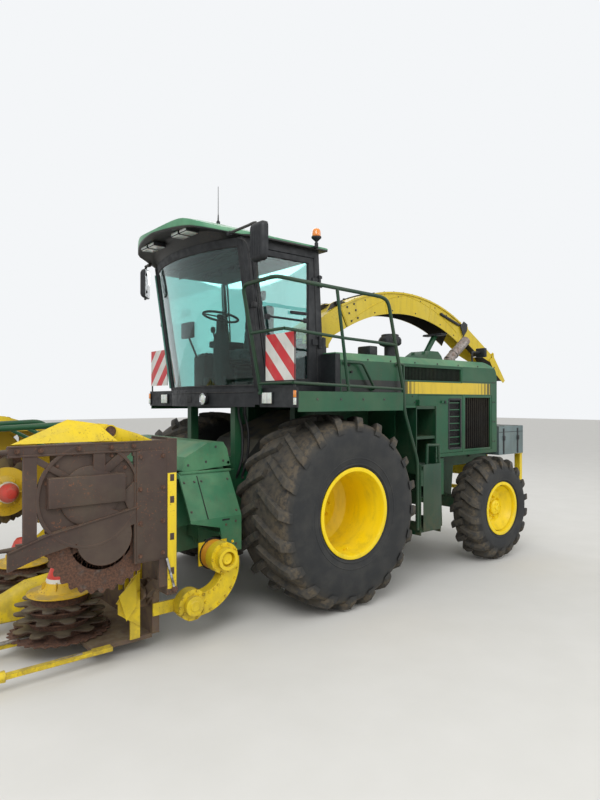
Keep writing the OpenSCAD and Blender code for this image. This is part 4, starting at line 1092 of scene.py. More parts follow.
@dataclass
class Wheel:
    """A tractor-type wheel: a radial tyre with chevron lugs on a dished steel rim."""

    end: str
    side: int
    x: float
    track: float
    radius: float
    width: float
    seat: float
    lugs: int
    disc: float
    boss: float
    bolts: int
    tread: Finish
    lug_h: float = 0.046

    def place(self) -> Matrix:
        """From the wheel's own frame, with +Z outboard, to the machine."""
        return Matrix.Translation((self.x, self.side * self.track / 2, self.radius)) \
            @ Matrix.Rotation(math.radians(-90 * self.side), 4, "X")

    def body(self) -> str:
        """The CAD body that the wheel turns with."""
        return f"{self.end}_wheel_{side_name(self.side)}"

    def flange(self) -> float:
        """How far the rim's flanges stand from the middle of the tyre."""
        return self.width / 2 - 0.0357

    def build(self) -> None:
        """Makes the tyre, the rim and the bolts."""
        self.tyre()
        self.rim()
        self.fixings()

    def carcass(self) -> list[tuple[float, float]]:
        """The tyre's outline from bead to bead, as (radius, across) points.

        Returns:
            Its points.
        """
        r, w, h, hub = self.radius, self.width, self.lug_h, self.seat
        half = [(hub, w / 2 - 0.036), (hub + 0.024, w / 2 - 0.036), (hub + 0.060, w / 2 - 0.012),
                ((r + hub) / 2, w / 2), (r - h - 0.09, w / 2 - 0.014), (r - h - 0.022, w / 2 - 0.06),
                (r - h, w / 6)]
        return rounded([(a, -b) for a, b in half] + [(a, b) for a, b in reversed(half)])

    def lug(self, mirrored: bool) -> list[list[Vector]]:
        """The sections of one curved lug, from the middle of the tread to the shoulder.

        Args:
            mirrored: true for the other half of the tread.
        Returns:
            The sections' points.
        """
        r, w, h = self.radius, self.width, self.lug_h
        rings = []
        for k in range(10):
            share = k / 9
            across = -0.012 + share * (w / 2 + 0.008)
            if across < w / 6:
                top, foot = r, r - h
            elif across < w / 2 - 0.05:
                t = (across - w / 6) / (w / 3 - 0.05)
                top, foot = r - 0.02 * t * t, r - h - 0.022 * t
            else:
                t = (across - w / 2 + 0.05) / 0.05
                top, foot = r - 0.02 - (h + 0.034) * t ** 1.5, r - h - 0.022 - 0.075 * t
            middle = (0.32 * w - 0.012) * share ** 1.08
            half = 0.036 + 0.006 * share
            ring = []
            for t, rad in ((-half - 0.008, foot - 0.012), (-half - 0.001, top - 0.010), (-half + 0.006, top),
                           (half - 0.006, top), (half + 0.001, top - 0.010), (half + 0.008, foot - 0.012)):
                angle = (middle + t) / r
                ring.append(Vector((rad * math.cos(angle), rad * math.sin(angle),
                                    -across if mirrored else across)))
            rings.append(ring)
        return rings

    def tyre(self) -> None:
        """The carcass with its wall rings, and every lug."""
        bench = Bench()
        bench.turned(self.carcass(), Matrix.Identity(4), steps=120)
        half, hub = self.width / 2, self.seat
        outermost = min((self.radius + hub) / 2 + 0.06, self.radius - self.lug_h - 0.105)
        rings = ((hub + 0.052, half - 0.0185, 0.006), (hub + 0.11, half - 0.011, 0.005),
                 (outermost, half - 0.012, 0.0045))
        for out in (-1, 1):
            for radius, across, thick in rings:
                ring = oval(radius, out * across, thick * 1.6, out * thick, 8)
                bench.turned(ring, Matrix.Identity(4), steps=96, ring=True)
        for mirrored in (False, True):
            pattern = Bench().loft(self.lug(mirrored)).bm
            for i in range(self.lugs):
                turn = Matrix.Rotation((i + (0.5 if mirrored else 0.0)) * math.tau / self.lugs, 4, "Z")
                bench.join(pattern.copy(), turn)
            pattern.free()
        side = side_name(self.side)
        bench.moved(self.place()).piece(f"{self.end}_tread_{side}", self.body(), self.tread, Slot.TYRE,
                                        (f"{self.end}_tyre_{side}",), smooth=42)

    def rim(self) -> None:
        """The rim and its dish, pressed and welded: flanges, bead seats, well, disc and hub."""
        hub, disc, boss = self.seat, self.disc, self.boss
        e = self.flange()
        profile = [(hub - 0.014, -e - 0.013), (hub + 0.023, -e - 0.013), (hub + 0.023, -e),
                   (hub - 0.0004, -e), (hub - 0.004, -e + 0.07), (hub - 0.018, -e + 0.10),
                   (hub - 0.018, e - 0.10), (hub - 0.004, e - 0.07), (hub - 0.0004, e), (hub + 0.023, e),
                   (hub + 0.023, e + 0.013), (hub - 0.014, e + 0.013), (hub - 0.022, e - 0.02),
                   (hub - 0.026, e - 0.07), (hub - 0.032, e - 0.085), (hub - 0.032, disc + 0.12),
                   (hub - 0.046, disc + 0.085), (hub * 0.66, disc + 0.018), (boss + 0.075, disc + 0.016),
                   (boss + 0.070, disc + 0.022), (boss, disc + 0.022), (boss, disc + 0.062),
                   (boss - 0.030, disc + 0.076), (0.0, disc + 0.076), (0.0, disc - 0.014),
                   (hub * 0.62, disc - 0.014), (hub - 0.05, disc + 0.05), (hub - 0.044, 0.10 - e),
                   (hub - 0.026, 0.04 - e)]
        side = side_name(self.side)
        dish = Bench().turned(profile + profile[:1], Matrix.Identity(4), steps=96, edge=0.0025)
        dish.moved(self.place()).piece(f"{self.end}_dish_{side}", self.body(), RIM_YELLOW, Slot.RIM,
                                       (f"{self.end}_rim_{side}",), smooth=30)

    def fixings(self) -> None:
        """Wheel nuts, the hub cover's screws and the valve."""
        bench = Bench()
        ring, cover = self.boss + 0.036, self.boss - 0.042
        studs = [(ring * c, ring * s) for c, s in around(self.bolts)]
        bench.bolts([(a, b, self.disc + 0.022) for a, b in studs], (0, 0, 1), 0.014, 0.026)
        for a, b in studs:
            bench.rod((a, b, self.disc + 0.03), (a, b, self.disc + 0.062), 0.0075, sides=12)
        bench.bolts([(cover * c, cover * s, self.disc + 0.076) for c, s in around(6)], (0, 0, 1), 0.007,
                    0.008)
        bench.turned([(0.0, self.disc + 0.0765), (cover - 0.016, self.disc + 0.0765),
                      (cover - 0.02, self.disc + 0.086), (0.0, self.disc + 0.088)], Matrix.Identity(4),
                     steps=40)
        e = self.flange()
        bench.rod((0, self.seat - 0.034, e - 0.16), (0, self.seat - 0.06, e - 0.10), 0.006, sides=10)
        side = side_name(self.side)
        bench.moved(self.place()).piece(f"{self.end}_nuts_{side}", self.body(), RIM_YELLOW, Slot.RIM)


def dress_frame(nodes: dict[str, bpy.types.Object]) -> None:
    """Gives every CAD node that stays in view its finish.

    Args:
        nodes: the frame's objects by node name.
    """
    table: dict[Finish, str] = {
        GREEN: "main_frame front_axle rear_axle platform handrails fuel_tank push_bar side_door_left"
               " side_door_right",
        SIDE_GREEN: "body_panels", PALE: "deck feed_housing", ROOF: "cab_roof", STEP_GREEN: "ladder",
        LOUVRES: "side_grilles", BLACK: "cab_base mirrors lamps deck_fittings cab_frame cab_door",
        CAST: "drive_train knuckle_left knuckle_right steering_rod", GLASS: "cab_glass door_glass",
        CLOTH: "cab_interior", BOARDS: "warning_boards", GREY: "rear_box",
        HEADER_YELLOW: "hitch drive_case crop_points rotor_inner_left rotor_inner_right rotor_outer_left"
                       " rotor_outer_right",
        CHUTE: "turret spout flap_inner flap_outer", PRIMER: "header_frame", WING: "wing_left wing_right",
        STEEL: "feed_roll_upper feed_roll_lower", BLACK_STEEL: "lift_barrels", CHROME: "lift_rods",
    }
    for finish, names in table.items():
        for name in names.split():
            data = nodes[name].data
            data.materials.clear()
            data.materials.append(finish.material())


@dataclass
class Lamps:
    """Every lamp on the machine: black housings, bright bezels and ribbed lenses."""

    roof: float = 3.48
    console: Point = (0.878, 0.24, 1.984)
    beacon: Point = (0.06, 0.985)

    def build(self) -> None:
        """Makes the housings, then what lies in them."""
        self.housings()
        self.lenses()

    def housings(self) -> None:
        """Housings, stalks and the beacon's funnel-shaped foot."""
        bench = Bench()
        bench.turned([(0, 0), (0.045, 0), (0.060, 0.012), (0.062, 0.040), (0.055, 0.041), (0.050, 0.030),
                      (0, 0.026)], Matrix.Translation(self.console) @ FORWARD, steps=48, edge=0.0015)
        half = Bench()
        half.block((0.680, 0.951, 1.936), (0.700, 1.106, 2.047), edge=0.005)
        half.block((0.680, 1.410, 1.928), (0.692, 1.450, 2.059), edge=0.002)
        for y in (0.190, 0.350):
            half.block((1.100, y, 3.556), (1.236, y + 0.140, 3.592 if y > 0.3 else 3.600), edge=0.006)
        half.block((-2.916, 0.820, 2.540), (-2.862, 0.960, 2.660), edge=0.012)
        half.tube([(-2.688, 0.89, 2.455), (-2.688, 0.89, 2.575), (-2.715, 0.89, 2.600),
                   (-2.862, 0.89, 2.600)], 0.013)
        half.block((-2.715, 0.86, 2.455), (-2.665, 0.92, 2.467), edge=0.002)
        half.block((-2.958, 0.900, 1.700), (-2.922, 1.040, 1.990), edge=0.006)
        bench.join(half.mirror().bm)
        x, y = self.beacon
        bench.block((x - 0.02, 0.940, self.roof + 0.004), (x + 0.02, y, self.roof + 0.022), edge=0.003)
        bench.turned([(0, 0.004), (0.019, 0.004), (0.019, 0.052), (0.013, 0.058), (0.013, 0.066),
                      (0.024, 0.078), (0.046, 0.098), (0.050, 0.104), (0.050, 0.115), (0, 0.115)],
                     Matrix.Translation((x, y, self.roof)), steps=40, edge=0.001)
        bench.piece("lamp_housings", "chassis", BLACK, Slot.BLACK, ("lamps",))

    def lenses(self) -> None:
        """Bezels, clear glasses, amber and red plastics."""
        glass, bright, amber, red = Bench(), Bench(), Bench(), Bench()
        at = Matrix.Translation(self.console) @ FORWARD
        bright.turned(oval(0.054, 0.0405, 0.005, 0.004, 10), at, steps=48, ring=True)
        glass.turned([(0, 0.030), (0.051, 0.030), (0.050, 0.038), (0.034, 0.044), (0, 0.047)], at, steps=48)
        for side in (1, -1):
            for y in (0.956, 1.031):
                glass.side_block(side, (0.696, y, 1.942), (0.7055, y + 0.070, 2.041), 0.003)
            amber.side_block(side, (0.690, 1.414, 1.996), (0.700, 1.449, 2.057), 0.003)
            glass.side_block(side, (0.690, 1.414, 1.931), (0.700, 1.449, 1.993), 0.003)
            for y in (0.198, 0.358):
                glass.side_block(side, (1.108, y, 3.550), (1.228, y + 0.124, 3.560), 0.003)
                glass.side_block(side, (1.230, y, 3.562), (1.240, y + 0.124, 3.586), 0.003)
            glass.side_block(side, (-2.919, 0.828, 2.548), (-2.912, 0.952, 2.652), 0.003)
            red.side_block(side, (-2.9605, 0.906, 1.706), (-2.955, 1.034, 1.840), 0.002)
            amber.side_block(side, (-2.9605, 0.906, 1.844), (-2.955, 1.034, 1.914), 0.002)
            glass.side_block(side, (-2.9605, 0.906, 1.918), (-2.955, 1.034, 1.984), 0.002)
        x, y = self.beacon
        dome = [(0, 0.115), (0.041, 0.115), (0.044, 0.120), (0.043, 0.158), (0.038, 0.180), (0.026, 0.194),
                (0, 0.200)]
        amber.turned(rounded(dome, 1), Matrix.Translation((x, y, self.roof)), steps=40)
        bright.piece("lamp_bezels", "chassis", CHROME, Slot.CHROME, ("lamps",))
        glass.piece("lamp_glasses", "chassis", CLEAR, Slot.GLASS, ("lamps",))
        amber.piece("amber_lenses", "chassis", AMBER, Slot.BOARD, ("lamps",))
        red.piece("tail_lenses", "chassis", RED, Slot.BOARD, ("lamps",))


@dataclass
class Mirrors:
    """Two tall mirrors on bent arms from the roof's front corners."""

    foot: Point = (0.985, 0.825, 3.498)
    left: Point = (1.000, 1.290, 0.0)
    right: Point = (0.970, 0.965, 40.0)
    low: float = 3.150
    high: float = 3.480

    def build(self) -> None:
        """Makes arms, housings and glasses on both sides."""
        arms, shells, glasses = Bench(), Bench(), Bench()
        for side, (x, y, turn) in ((1, self.left), (-1, self.right)):
            fx, fy, fz = self.foot
            line = [(fx, side * fy, fz), (fx + 0.004, side * (fy * 0.35 + y * 0.65), fz),
                    (x, side * (y - 0.03), fz - 0.004), (x, side * y, fz - 0.035), (x, side * y, 3.30),
                    (x, side * y, 3.125)]
            arms.tube(line, 0.0125, sides=12)
            arms.rod((fx - 0.004, side * (fy - 0.012), fz), (fx, side * (fy + 0.03), fz), 0.02, sides=16,
                     edge=0.002)
            for z in (3.20, 3.40):
                arms.block((x - 0.02, side * y - 0.02, z), (x + 0.02, side * y + 0.02, z + 0.03), edge=0.003)
            place = Matrix.Translation((x, side * y, 0)) @ Matrix.Rotation(math.radians(turn * side), 4, "Z")
            y0, y1 = sorted((side * -0.055, side * 0.155))
            shells.join(self.shell(y0, y1), place)
            glasses.join(Bench().block((-0.0145, y0 + 0.012, self.low + 0.012),
                                       (-0.0125, y1 - 0.012, self.high - 0.012), edge=0.0008).bm, place)
        arms.piece("mirror_arms", "chassis", BLACK_STEEL, Slot.BLACK, ("mirrors",))
        shells.piece("mirror_shells", "chassis", BLACK, Slot.BLACK, ("mirrors",))
        glasses.piece("mirror_glasses", "chassis", MIRROR, Slot.CHROME, ("mirrors",))

    def shell(self, y0: float, y1: float) -> bmesh.types.BMesh:
        """A moulded housing with rounded corners and upright ribs on its front.

        Args:
            y0: its low side.
            y1: its high side.
        Returns:
            The form.
        """
        part = bmesh.new()
        bmesh.ops.create_cube(part, size=1.0)
        bmesh.ops.scale(part, vec=(0.062, y1 - y0, self.high - self.low), verts=part.verts)
        bmesh.ops.translate(part, vec=(0.019, (y0 + y1) / 2, (self.low + self.high) / 2), verts=part.verts)
        corners = [e for e in part.edges if abs(e.verts[0].co.x - e.verts[1].co.x) > 0.03]
        bmesh.ops.bevel(part, geom=corners, offset=0.052, segments=6, profile=0.5, affect="EDGES",
                        material=-1)
        front = [e for e in part.edges if all(v.co.x > 0.045 for v in e.verts)]
        bmesh.ops.bevel(part, geom=front, offset=0.042, segments=6, profile=0.5, affect="EDGES", material=-1)
        bench = Bench().join(part)
        wide = y1 - y0
        for k in range(6):
            y = y0 + wide * (0.2 + 0.12 * k)
            bench.block((0.045, y - 0.003, self.low + 0.04), (0.053, y + 0.003, self.high - 0.04),
                        edge=0.0015)
        return bench.bm


@dataclass(frozen=True)
class Pad:
    """A foam pad in a cloth cover, blown up by the cloth solver from a slightly smaller form."""

    name: str
    low: Point
    high: Point
    lean: float = 0.0
    cap: float = 0.014
    fill: float = 0.7
    grow: float = 0.007
    voxel: float = 0.011
    pressure: float = 4.0
    frames: int = 20
    channel: float = 0.016

    def build(self) -> bpy.types.Object:
        """Makes the form, lets the cover swell and sews its channels.

        Returns:
            The pad.
        """
        bench = Bench().block([c + self.grow for c in self.low], [c - self.grow for c in self.high],
                              edge=0.03)
        middle = [(a + b) / 2 for a, b in zip(self.low, self.high)]
        turn = Matrix.Translation(middle) @ Matrix.Rotation(math.radians(self.lean), 4, "Y") \
            @ Matrix.Translation([-c for c in middle])
        made = bench.moved(turn).piece(self.name, "chassis", CLOTH, Slot.INTERIOR, ("cab_interior",),
                                       smooth=60)
        self.settle(made)
        self.sew(made)
        return made

    def settle(self, made: bpy.types.Object) -> None:
        """Remeshes the form, runs the cloth solver with air inside it and keeps the result.

        Args:
            made: the pad.
        """
        remesh = made.modifiers.new("even", "REMESH")
        remesh.mode, remesh.voxel_size = "VOXEL", self.voxel
        self.bake(made)
        before = [v.co.copy() for v in made.data.vertices]
        cloth = made.modifiers.new("cover", "CLOTH")
        cloth.settings.use_pressure = True
        cloth.settings.uniform_pressure_force = self.pressure
        cloth.settings.effector_weights.gravity = 0.0
        cloth.settings.tension_stiffness = 25.0
        cloth.point_cache.frame_end = self.frames
        scene = bpy.context.scene
        for at in range(1, self.frames + 1):
            scene.frame_set(at)
        self.bake(made)
        scene.frame_set(1)
        for v, old in zip(made.data.vertices, before):
            step = v.co - old
            if step.length > self.cap:
                v.co = old + step.normalized() * self.cap

    @staticmethod
    def bake(made: bpy.types.Object) -> None:
        """Replaces the mesh by what its modifiers make of it.

        Args:
            made: the pad.
        """
        shaped = bpy.data.meshes.new_from_object(made.evaluated_get(bpy.context.evaluated_depsgraph_get()))
        made.modifiers.clear()
        old, made.data = made.data, shaped
        bpy.data.meshes.remove(old)
        shaped.shade_smooth()

    def sew(self, made: bpy.types.Object) -> None:
        """Draws in three channels across the pad, where the cover is sewn to the foam.

        Args:
            made: the pad.
        """
        bm = bmesh.new()
        bm.from_mesh(made.data)
        bm.normal_update()
        tall = self.high[2] - self.low[2] > 0.3
        axis = 2 if tall else 0
        first, last = self.low[axis], self.high[axis]
        shift = 0 if tall else AXLE_X
        for v in bm.verts:
            for k in (0.3, 0.5, 0.7):
                off = abs(v.co[axis] - shift - first - (last - first) * k)
                if off < self.channel:
                    v.co -= v.normal * 0.005 * (1 - (off / self.channel) ** 2)
        bmesh.ops.smooth_vert(bm, verts=bm.verts, factor=0.3, use_axis_x=True, use_axis_y=True,
                              use_axis_z=True)
        bm.to_mesh(made.data)
        bm.free()


@dataclass
class Cab:
    """The operator's cab: what is fitted in, on and around its frame."""

    floor: float = 2.05
    roof: float = 3.48
    half: float = 0.88
    front: float = 0.68
    lean: float = 0.21
    bow: float = 0.18

    def build(self) -> None:
        """Fits the cab out from the floor up."""
        self.furniture()
        for pad in (Pad("seat_cushion", (0.03, -0.25, 2.405), (0.475, 0.25, 2.515)),
                    Pad("seat_back", (0.005, -0.235, 2.505), (0.125, 0.235, 3.030), lean=-4.0),
                    Pad("seat_headrest", (0.02, -0.125, 3.062), (0.095, 0.125, 3.205), lean=-4.0, cap=0.008)):
            pad.build()
        self.steering()
        self.lining()
        self.seals()
        self.door_gear()
        self.cables()
        self.console_gear()

    def bow_radius(self) -> float:
        """Radius of the windscreen's bow, seen from above."""
        return ((self.half - 0.06) ** 2 + self.bow ** 2) / (2 * self.bow)

    def screen_x(self, y: float, z: float) -> float:
        """How far forward the windscreen's outer face stands.

        Args:
            y: place across the cab.
            z: height.
        Returns:
            The place along the machine.
        """
        radius = self.bow_radius()
        return self.front + self.bow - radius + math.sqrt(radius ** 2 - y ** 2) \
            + (z - self.floor) * self.lean / (self.roof - self.floor)

    def furniture(self) -> None:
        """Seat pedestal with its bellows, armrest, lever, side console and monitor."""
        bench = Bench()
        folds = [(0, 2.052), (0.155, 2.052), (0.155, 2.075)]
        for k in range(5):
            folds += [(0.118, 2.095 + k * 0.052), (0.142, 2.120 + k * 0.052)]
        bench.turned(folds + [(0.125, 2.360), (0, 2.360)], Matrix.Translation((0.22, 0, 0)), steps=40)
        bench.block((0.03, -0.24, 2.360), (0.46, 0.24, 2.404), edge=0.008)
        bench.block((0.000, -0.20, 2.52), (0.022, 0.20, 3.00), edge=0.008)
        for y in (-0.05, 0.05):
            bench.rod((0.052, y, 2.98), (0.058, y, 3.09), 0.007, sides=10)
        bench.block((0.06, -0.43, 2.565), (0.45, -0.285, 2.64), edge=0.018)
        bench.block((0.16, -0.40, 2.40), (0.24, -0.32, 2.57), edge=0.01)
        bench.rod((0.40, -0.355, 2.635), (0.43, -0.355, 2.735), 0.011, sides=14)
        bench.turned([(0, -0.03), (0.020, -0.026), (0.029, 0.0), (0.024, 0.032), (0, 0.045)],
                     Matrix.Translation((0.436, -0.355, 2.76)), steps=24)
        bench.block((-0.02, -0.80, 2.055), (0.44, -0.55, 2.50), edge=0.03)
        bench.block((0.10, -0.77, 2.50), (0.40, -0.58, 2.515), edge=0.005)
        for k in range(5):
            for y in (-0.74, -0.66):
                bench.block((0.14 + k * 0.05, y, 2.513), (0.165 + k * 0.05, y + 0.04, 2.528), edge=0.003)
        bench.rod((0.50, -0.60, 2.46), (0.60, -0.62, 2.70), 0.012, sides=12)
        bench.block((0.585, -0.74, 2.68), (0.635, -0.50, 2.86), edge=0.012)
        bench.block((-0.06, 0.34, 2.05), (0.02, 0.78, 2.50), edge=0.02)
        bench.block((-0.10, -0.80, 2.055), (0.60, 0.80, 2.064), edge=0.002)
        for y in (-0.22, -0.10, 0.16):
            bench.block((0.615, y, 2.10), (0.635, y + 0.075, 2.22), edge=0.006)
            bench.rod((0.63, y + 0.037, 2.07), (0.63, y + 0.037, 2.12), 0.009, sides=8)
        bench.piece("cab_furniture", "chassis", BLACK, Slot.INTERIOR, ("cab_interior",))

    @staticmethod
    def column_ring(x: float, wide: float, deep: float, z: float) -> list[Vector]:
        """One rounded section of the steering column's cover.

        Args:
            x: its middle.
            wide: half its width.
            deep: half its depth.
            z: its height.
        Returns:
            Its points.
        """
        return [Vector((x + deep * math.copysign(abs(math.cos(a)) ** 0.5, math.cos(a)),
                        wide * math.copysign(abs(math.sin(a)) ** 0.5, math.sin(a)), z))
                for a in (k * math.tau / 24 + 0.01 for k in range(24))]

    def steering(self) -> None:
        """The padded column and the wheel with its three spokes."""
        bench = Bench()
        sections = ((0.545, 0.085, 0.070, 2.06), (0.545, 0.085, 0.072, 2.30), (0.548, 0.080, 0.068, 2.58),
                    (0.552, 0.070, 0.060, 2.665), (0.554, 0.045, 0.042, 2.70), (0.556, 0.040, 0.038, 2.83))
        bench.loft([self.column_ring(*section) for section in sections])
        tilt = Matrix.Translation((0.556, 0, 2.862)) @ Matrix.Rotation(math.radians(-12), 4, "Y")
        bench.turned(oval(0.185, 0.0, 0.0145, 0.0125, 12), tilt, steps=56, ring=True)
        bench.turned([(0, -0.03), (0.034, -0.026), (0.044, 0.0), (0.040, 0.016), (0.026, 0.024), (0, 0.026)],
                     tilt, steps=32)
        for degrees in (90, 210, 330):
            spoke = Bench().block((0.03, -0.013, -0.007), (0.178, 0.013, 0.003), edge=0.003).bm
            bench.join(spoke, tilt @ Matrix.Rotation(math.radians(degrees), 4, "Z"))
        for side in (1, -1):
            bench.rod((0.552, side * 0.04, 2.79), (0.50, side * 0.17, 2.80), 0.006, sides=10)
        bench.piece("steering_wheel", "chassis", TRIM, Slot.INTERIOR, ("cab_interior",))

    def lining(self) -> None:
        """The headlining with its vents, and the trimmed lower rear wall."""
        bench = Bench()
        bench.block((-0.02, -0.80, 3.405), (0.80, 0.80, 3.430), edge=0.01)
        bench.block((0.10, -0.60, 3.345), (0.46, 0.60, 3.407), edge=0.03)
        for y in (-0.42, -0.14, 0.14, 0.42):
            bench.turned([(0.018, 0), (0.044, 0), (0.048, 0.006), (0.044, 0.012), (0.018, 0.010)],
                         Matrix.Translation((0.467, y, 3.378)) @ FORWARD, steps=28, ring=True)
        bench.block((-0.075, -0.80, 2.11), (-0.058, 0.80, 2.56), edge=0.006)
        bench.block((0.72, -0.60, 3.330), (0.735, 0.60, 3.405), edge=0.004)
        bench.piece("cab_lining", "chassis", LINING, Slot.INTERIOR, ("cab_interior",))

    def seals(self) -> None:
        """Rubber round the windscreen, the sides and the door's glass, and the screen's bright edge."""
        bench = Bench()
        low, high, side = self.floor + 0.062, self.roof - 0.077, self.half - 0.062
        for s in (1, -1):
            bench.tube([(self.screen_x(side, z) - 0.002, s * side, z) for z in (low, (low + high) / 2, high)],
                       0.009, 8, 1)
            bench.rod((0.560, s * (self.half + 0.001), low + 0.012), (0.763, s * (self.half + 0.001), high),
                      0.006, sides=8)
            bench.rod((-0.05, s * (self.half + 0.001), low + 0.012), (0.002, s * (self.half + 0.001), high),
                      0.006, sides=8)
        for z in (low, high):
            bench.tube([(self.screen_x(y, z) - 0.002, y, z) for y in (k * side / 8 for k in range(-8, 9))],
                       0.008, 8, 1)
        bench.piece("cab_seals", "chassis", TRIM, Slot.BLACK)
        edge = Bench()
        outline = [(self.front - 0.012, low), (self.front + 0.026, low), (self.front + 0.214, high),
                   (self.front + 0.180, high)]
        edge.plate(outline, "Y", -self.half - 0.004, -self.half + 0.001, 0.001)
        edge.piece("screen_edge", "chassis", EDGE_GLASS, Slot.GLASS)
        pane = Bench()
        corners = [(0.0724, 2.1804), (0.5396, 2.1804), (0.7176, 3.3516), (0.0724, 3.3516)]
        for a, c in zip(corners, corners[1:] + corners[:1]):
            pane.rod((a[0], self.half - 0.014, a[1]), (c[0], self.half - 0.014, c[1]), 0.008, sides=8)
        pane.piece("door_seal", "cab_door", TRIM, Slot.BLACK)

    def door_gear(self) -> None:
        """The door's latch, outside handle and slanting grab bar."""
        bench = Bench()
        y = self.half
        bench.block((0.548, y, 2.290), (0.588, y + 0.020, 2.470), edge=0.006)
        bench.tube([(0.565, y + 0.018, 2.31), (0.560, y + 0.048, 2.33), (0.560, y + 0.050, 2.43),
                    (0.565, y + 0.018, 2.45)], 0.008)
        bench.rod((0.575, y - 0.016, 2.775), (0.095, y - 0.016, 2.765), 0.011, sides=12)
        for x in (0.575, 0.095):
            bench.block((x - 0.03, y - 0.026, 2.745), (x + 0.03, y - 0.008, 2.795), edge=0.004)
        bench.block((0.10, y - 0.010, 2.820), (0.31, y + 0.016, 2.852), edge=0.010)
        bench.rod((0.135, y + 0.014, 2.836), (0.135, y + 0.024, 2.836), 0.009, sides=14)
        bench.piece("door_gear", "cab_door", BLACK, Slot.BLACK)
        hinges = Bench()
        for z in (2.500, 3.120):
            hinges.bolts([(-0.088, y + 0.008, z + at) for at in (0.0135, 0.1065)], (0, 1, 0), 0.006, 0.006,
                         washer=False)
        hinges.piece("hinge_screws", "chassis", CAST, Slot.CAST)

    def cables(self) -> None:
        """The mirrors' stay and chain beside each front pillar, held at both ends."""
        line, chain = Bench(), Bench()
        link = [(0.007, 0, -0.010), (0.007, 0, 0.010), (0, 0, 0.017), (-0.007, 0, 0.010), (-0.007, 0, -0.010),
                (0, 0, -0.017), (0.007, 0, -0.0101)]
        for s in (1, -1):
            y = s * 0.925
            line.tube([(0.900, s * 0.85, 3.47), (0.850, y, 3.40), (0.810, y, 3.15), (0.775, y, 2.86),
                       (0.750, s * 0.93, 2.62)], 0.006)
            line.block((0.745, y - 0.022, 2.83), (0.790, y + 0.022, 2.88), edge=0.006)
            line.tube([(0.868, s * 0.90, 3.46), (0.780, y, 3.25), (0.752, y, 3.0), (0.770, y, 2.86)], 0.005)
            for k in range(16):
                z = 3.20 - k * 0.024
                turn = Matrix.Rotation(math.radians(90 * (k % 2)), 4, "Z")
                chain.join(Bench().tube(link, 0.0028, 6, 2).bm,
                           Matrix.Translation((0.742 - 0.0012 * k, y + s * 0.012, z)) @ turn)
        line.piece("pillar_cables", "chassis", HOSE, Slot.BLACK)
        chain.piece("pillar_chains", "chassis", CAST, Slot.CAST)

    def console_lip(self, y: float, out: float = 0.0) -> float:
        """How far forward the console's front face stands.

        Args:
            y: place across the cab.
            out: how far off the face.
        Returns:
            The place along the machine.
        """
        radius = self.bow_radius() + 0.026
        return self.front + self.bow - radius + 0.026 + math.sqrt((radius + out) ** 2 - y ** 2)

    def console_gear(self) -> None:
        """The console's seam, its screws, and the brackets and hoses that hang under it."""
        bench = Bench()
        z = self.floor - 0.004
        bench.tube([(self.console_lip(y, 0.001), y, z) for y in (k * 0.83 / 10 for k in range(-10, 11))],
                   0.005, 8, 1)
        bench.bolts([(self.console_lip(y), y, self.floor + 0.016)
                     for y in (-0.72, -0.44, -0.15, 0.15, 0.44, 0.72)], (1, 0, 0), 0.006, 0.005, washer=False)
        face = self.console_lip(-0.05)
        bench.block((face - 0.004, -0.155, 1.950), (face + 0.006, -0.035, 2.022), edge=0.006)
        bench.piece("console_trim", "chassis", TRIM, Slot.BLACK)
        hoses = Bench()
        for x, y in ((0.66, 0.50), (0.60, 0.52), (0.63, -0.50)):
            side = math.copysign(1, y)
            hoses.tube([(x, y, 1.93), (x - 0.005, y, 1.82), (x - 0.03, y * 1.02, 1.70),
                        (x - 0.04, y * 1.02, 1.56), (x - 0.03, side * 0.515, 1.40), (x, side * 0.505, 1.28),
                        (x + 0.01, side * 0.472, 1.20)], 0.013)
            hoses.rod((x, y, 1.90), (x, y, 1.95), 0.019, sides=6)
        hoses.piece("console_hoses", "chassis", HOSE, Slot.BLACK)


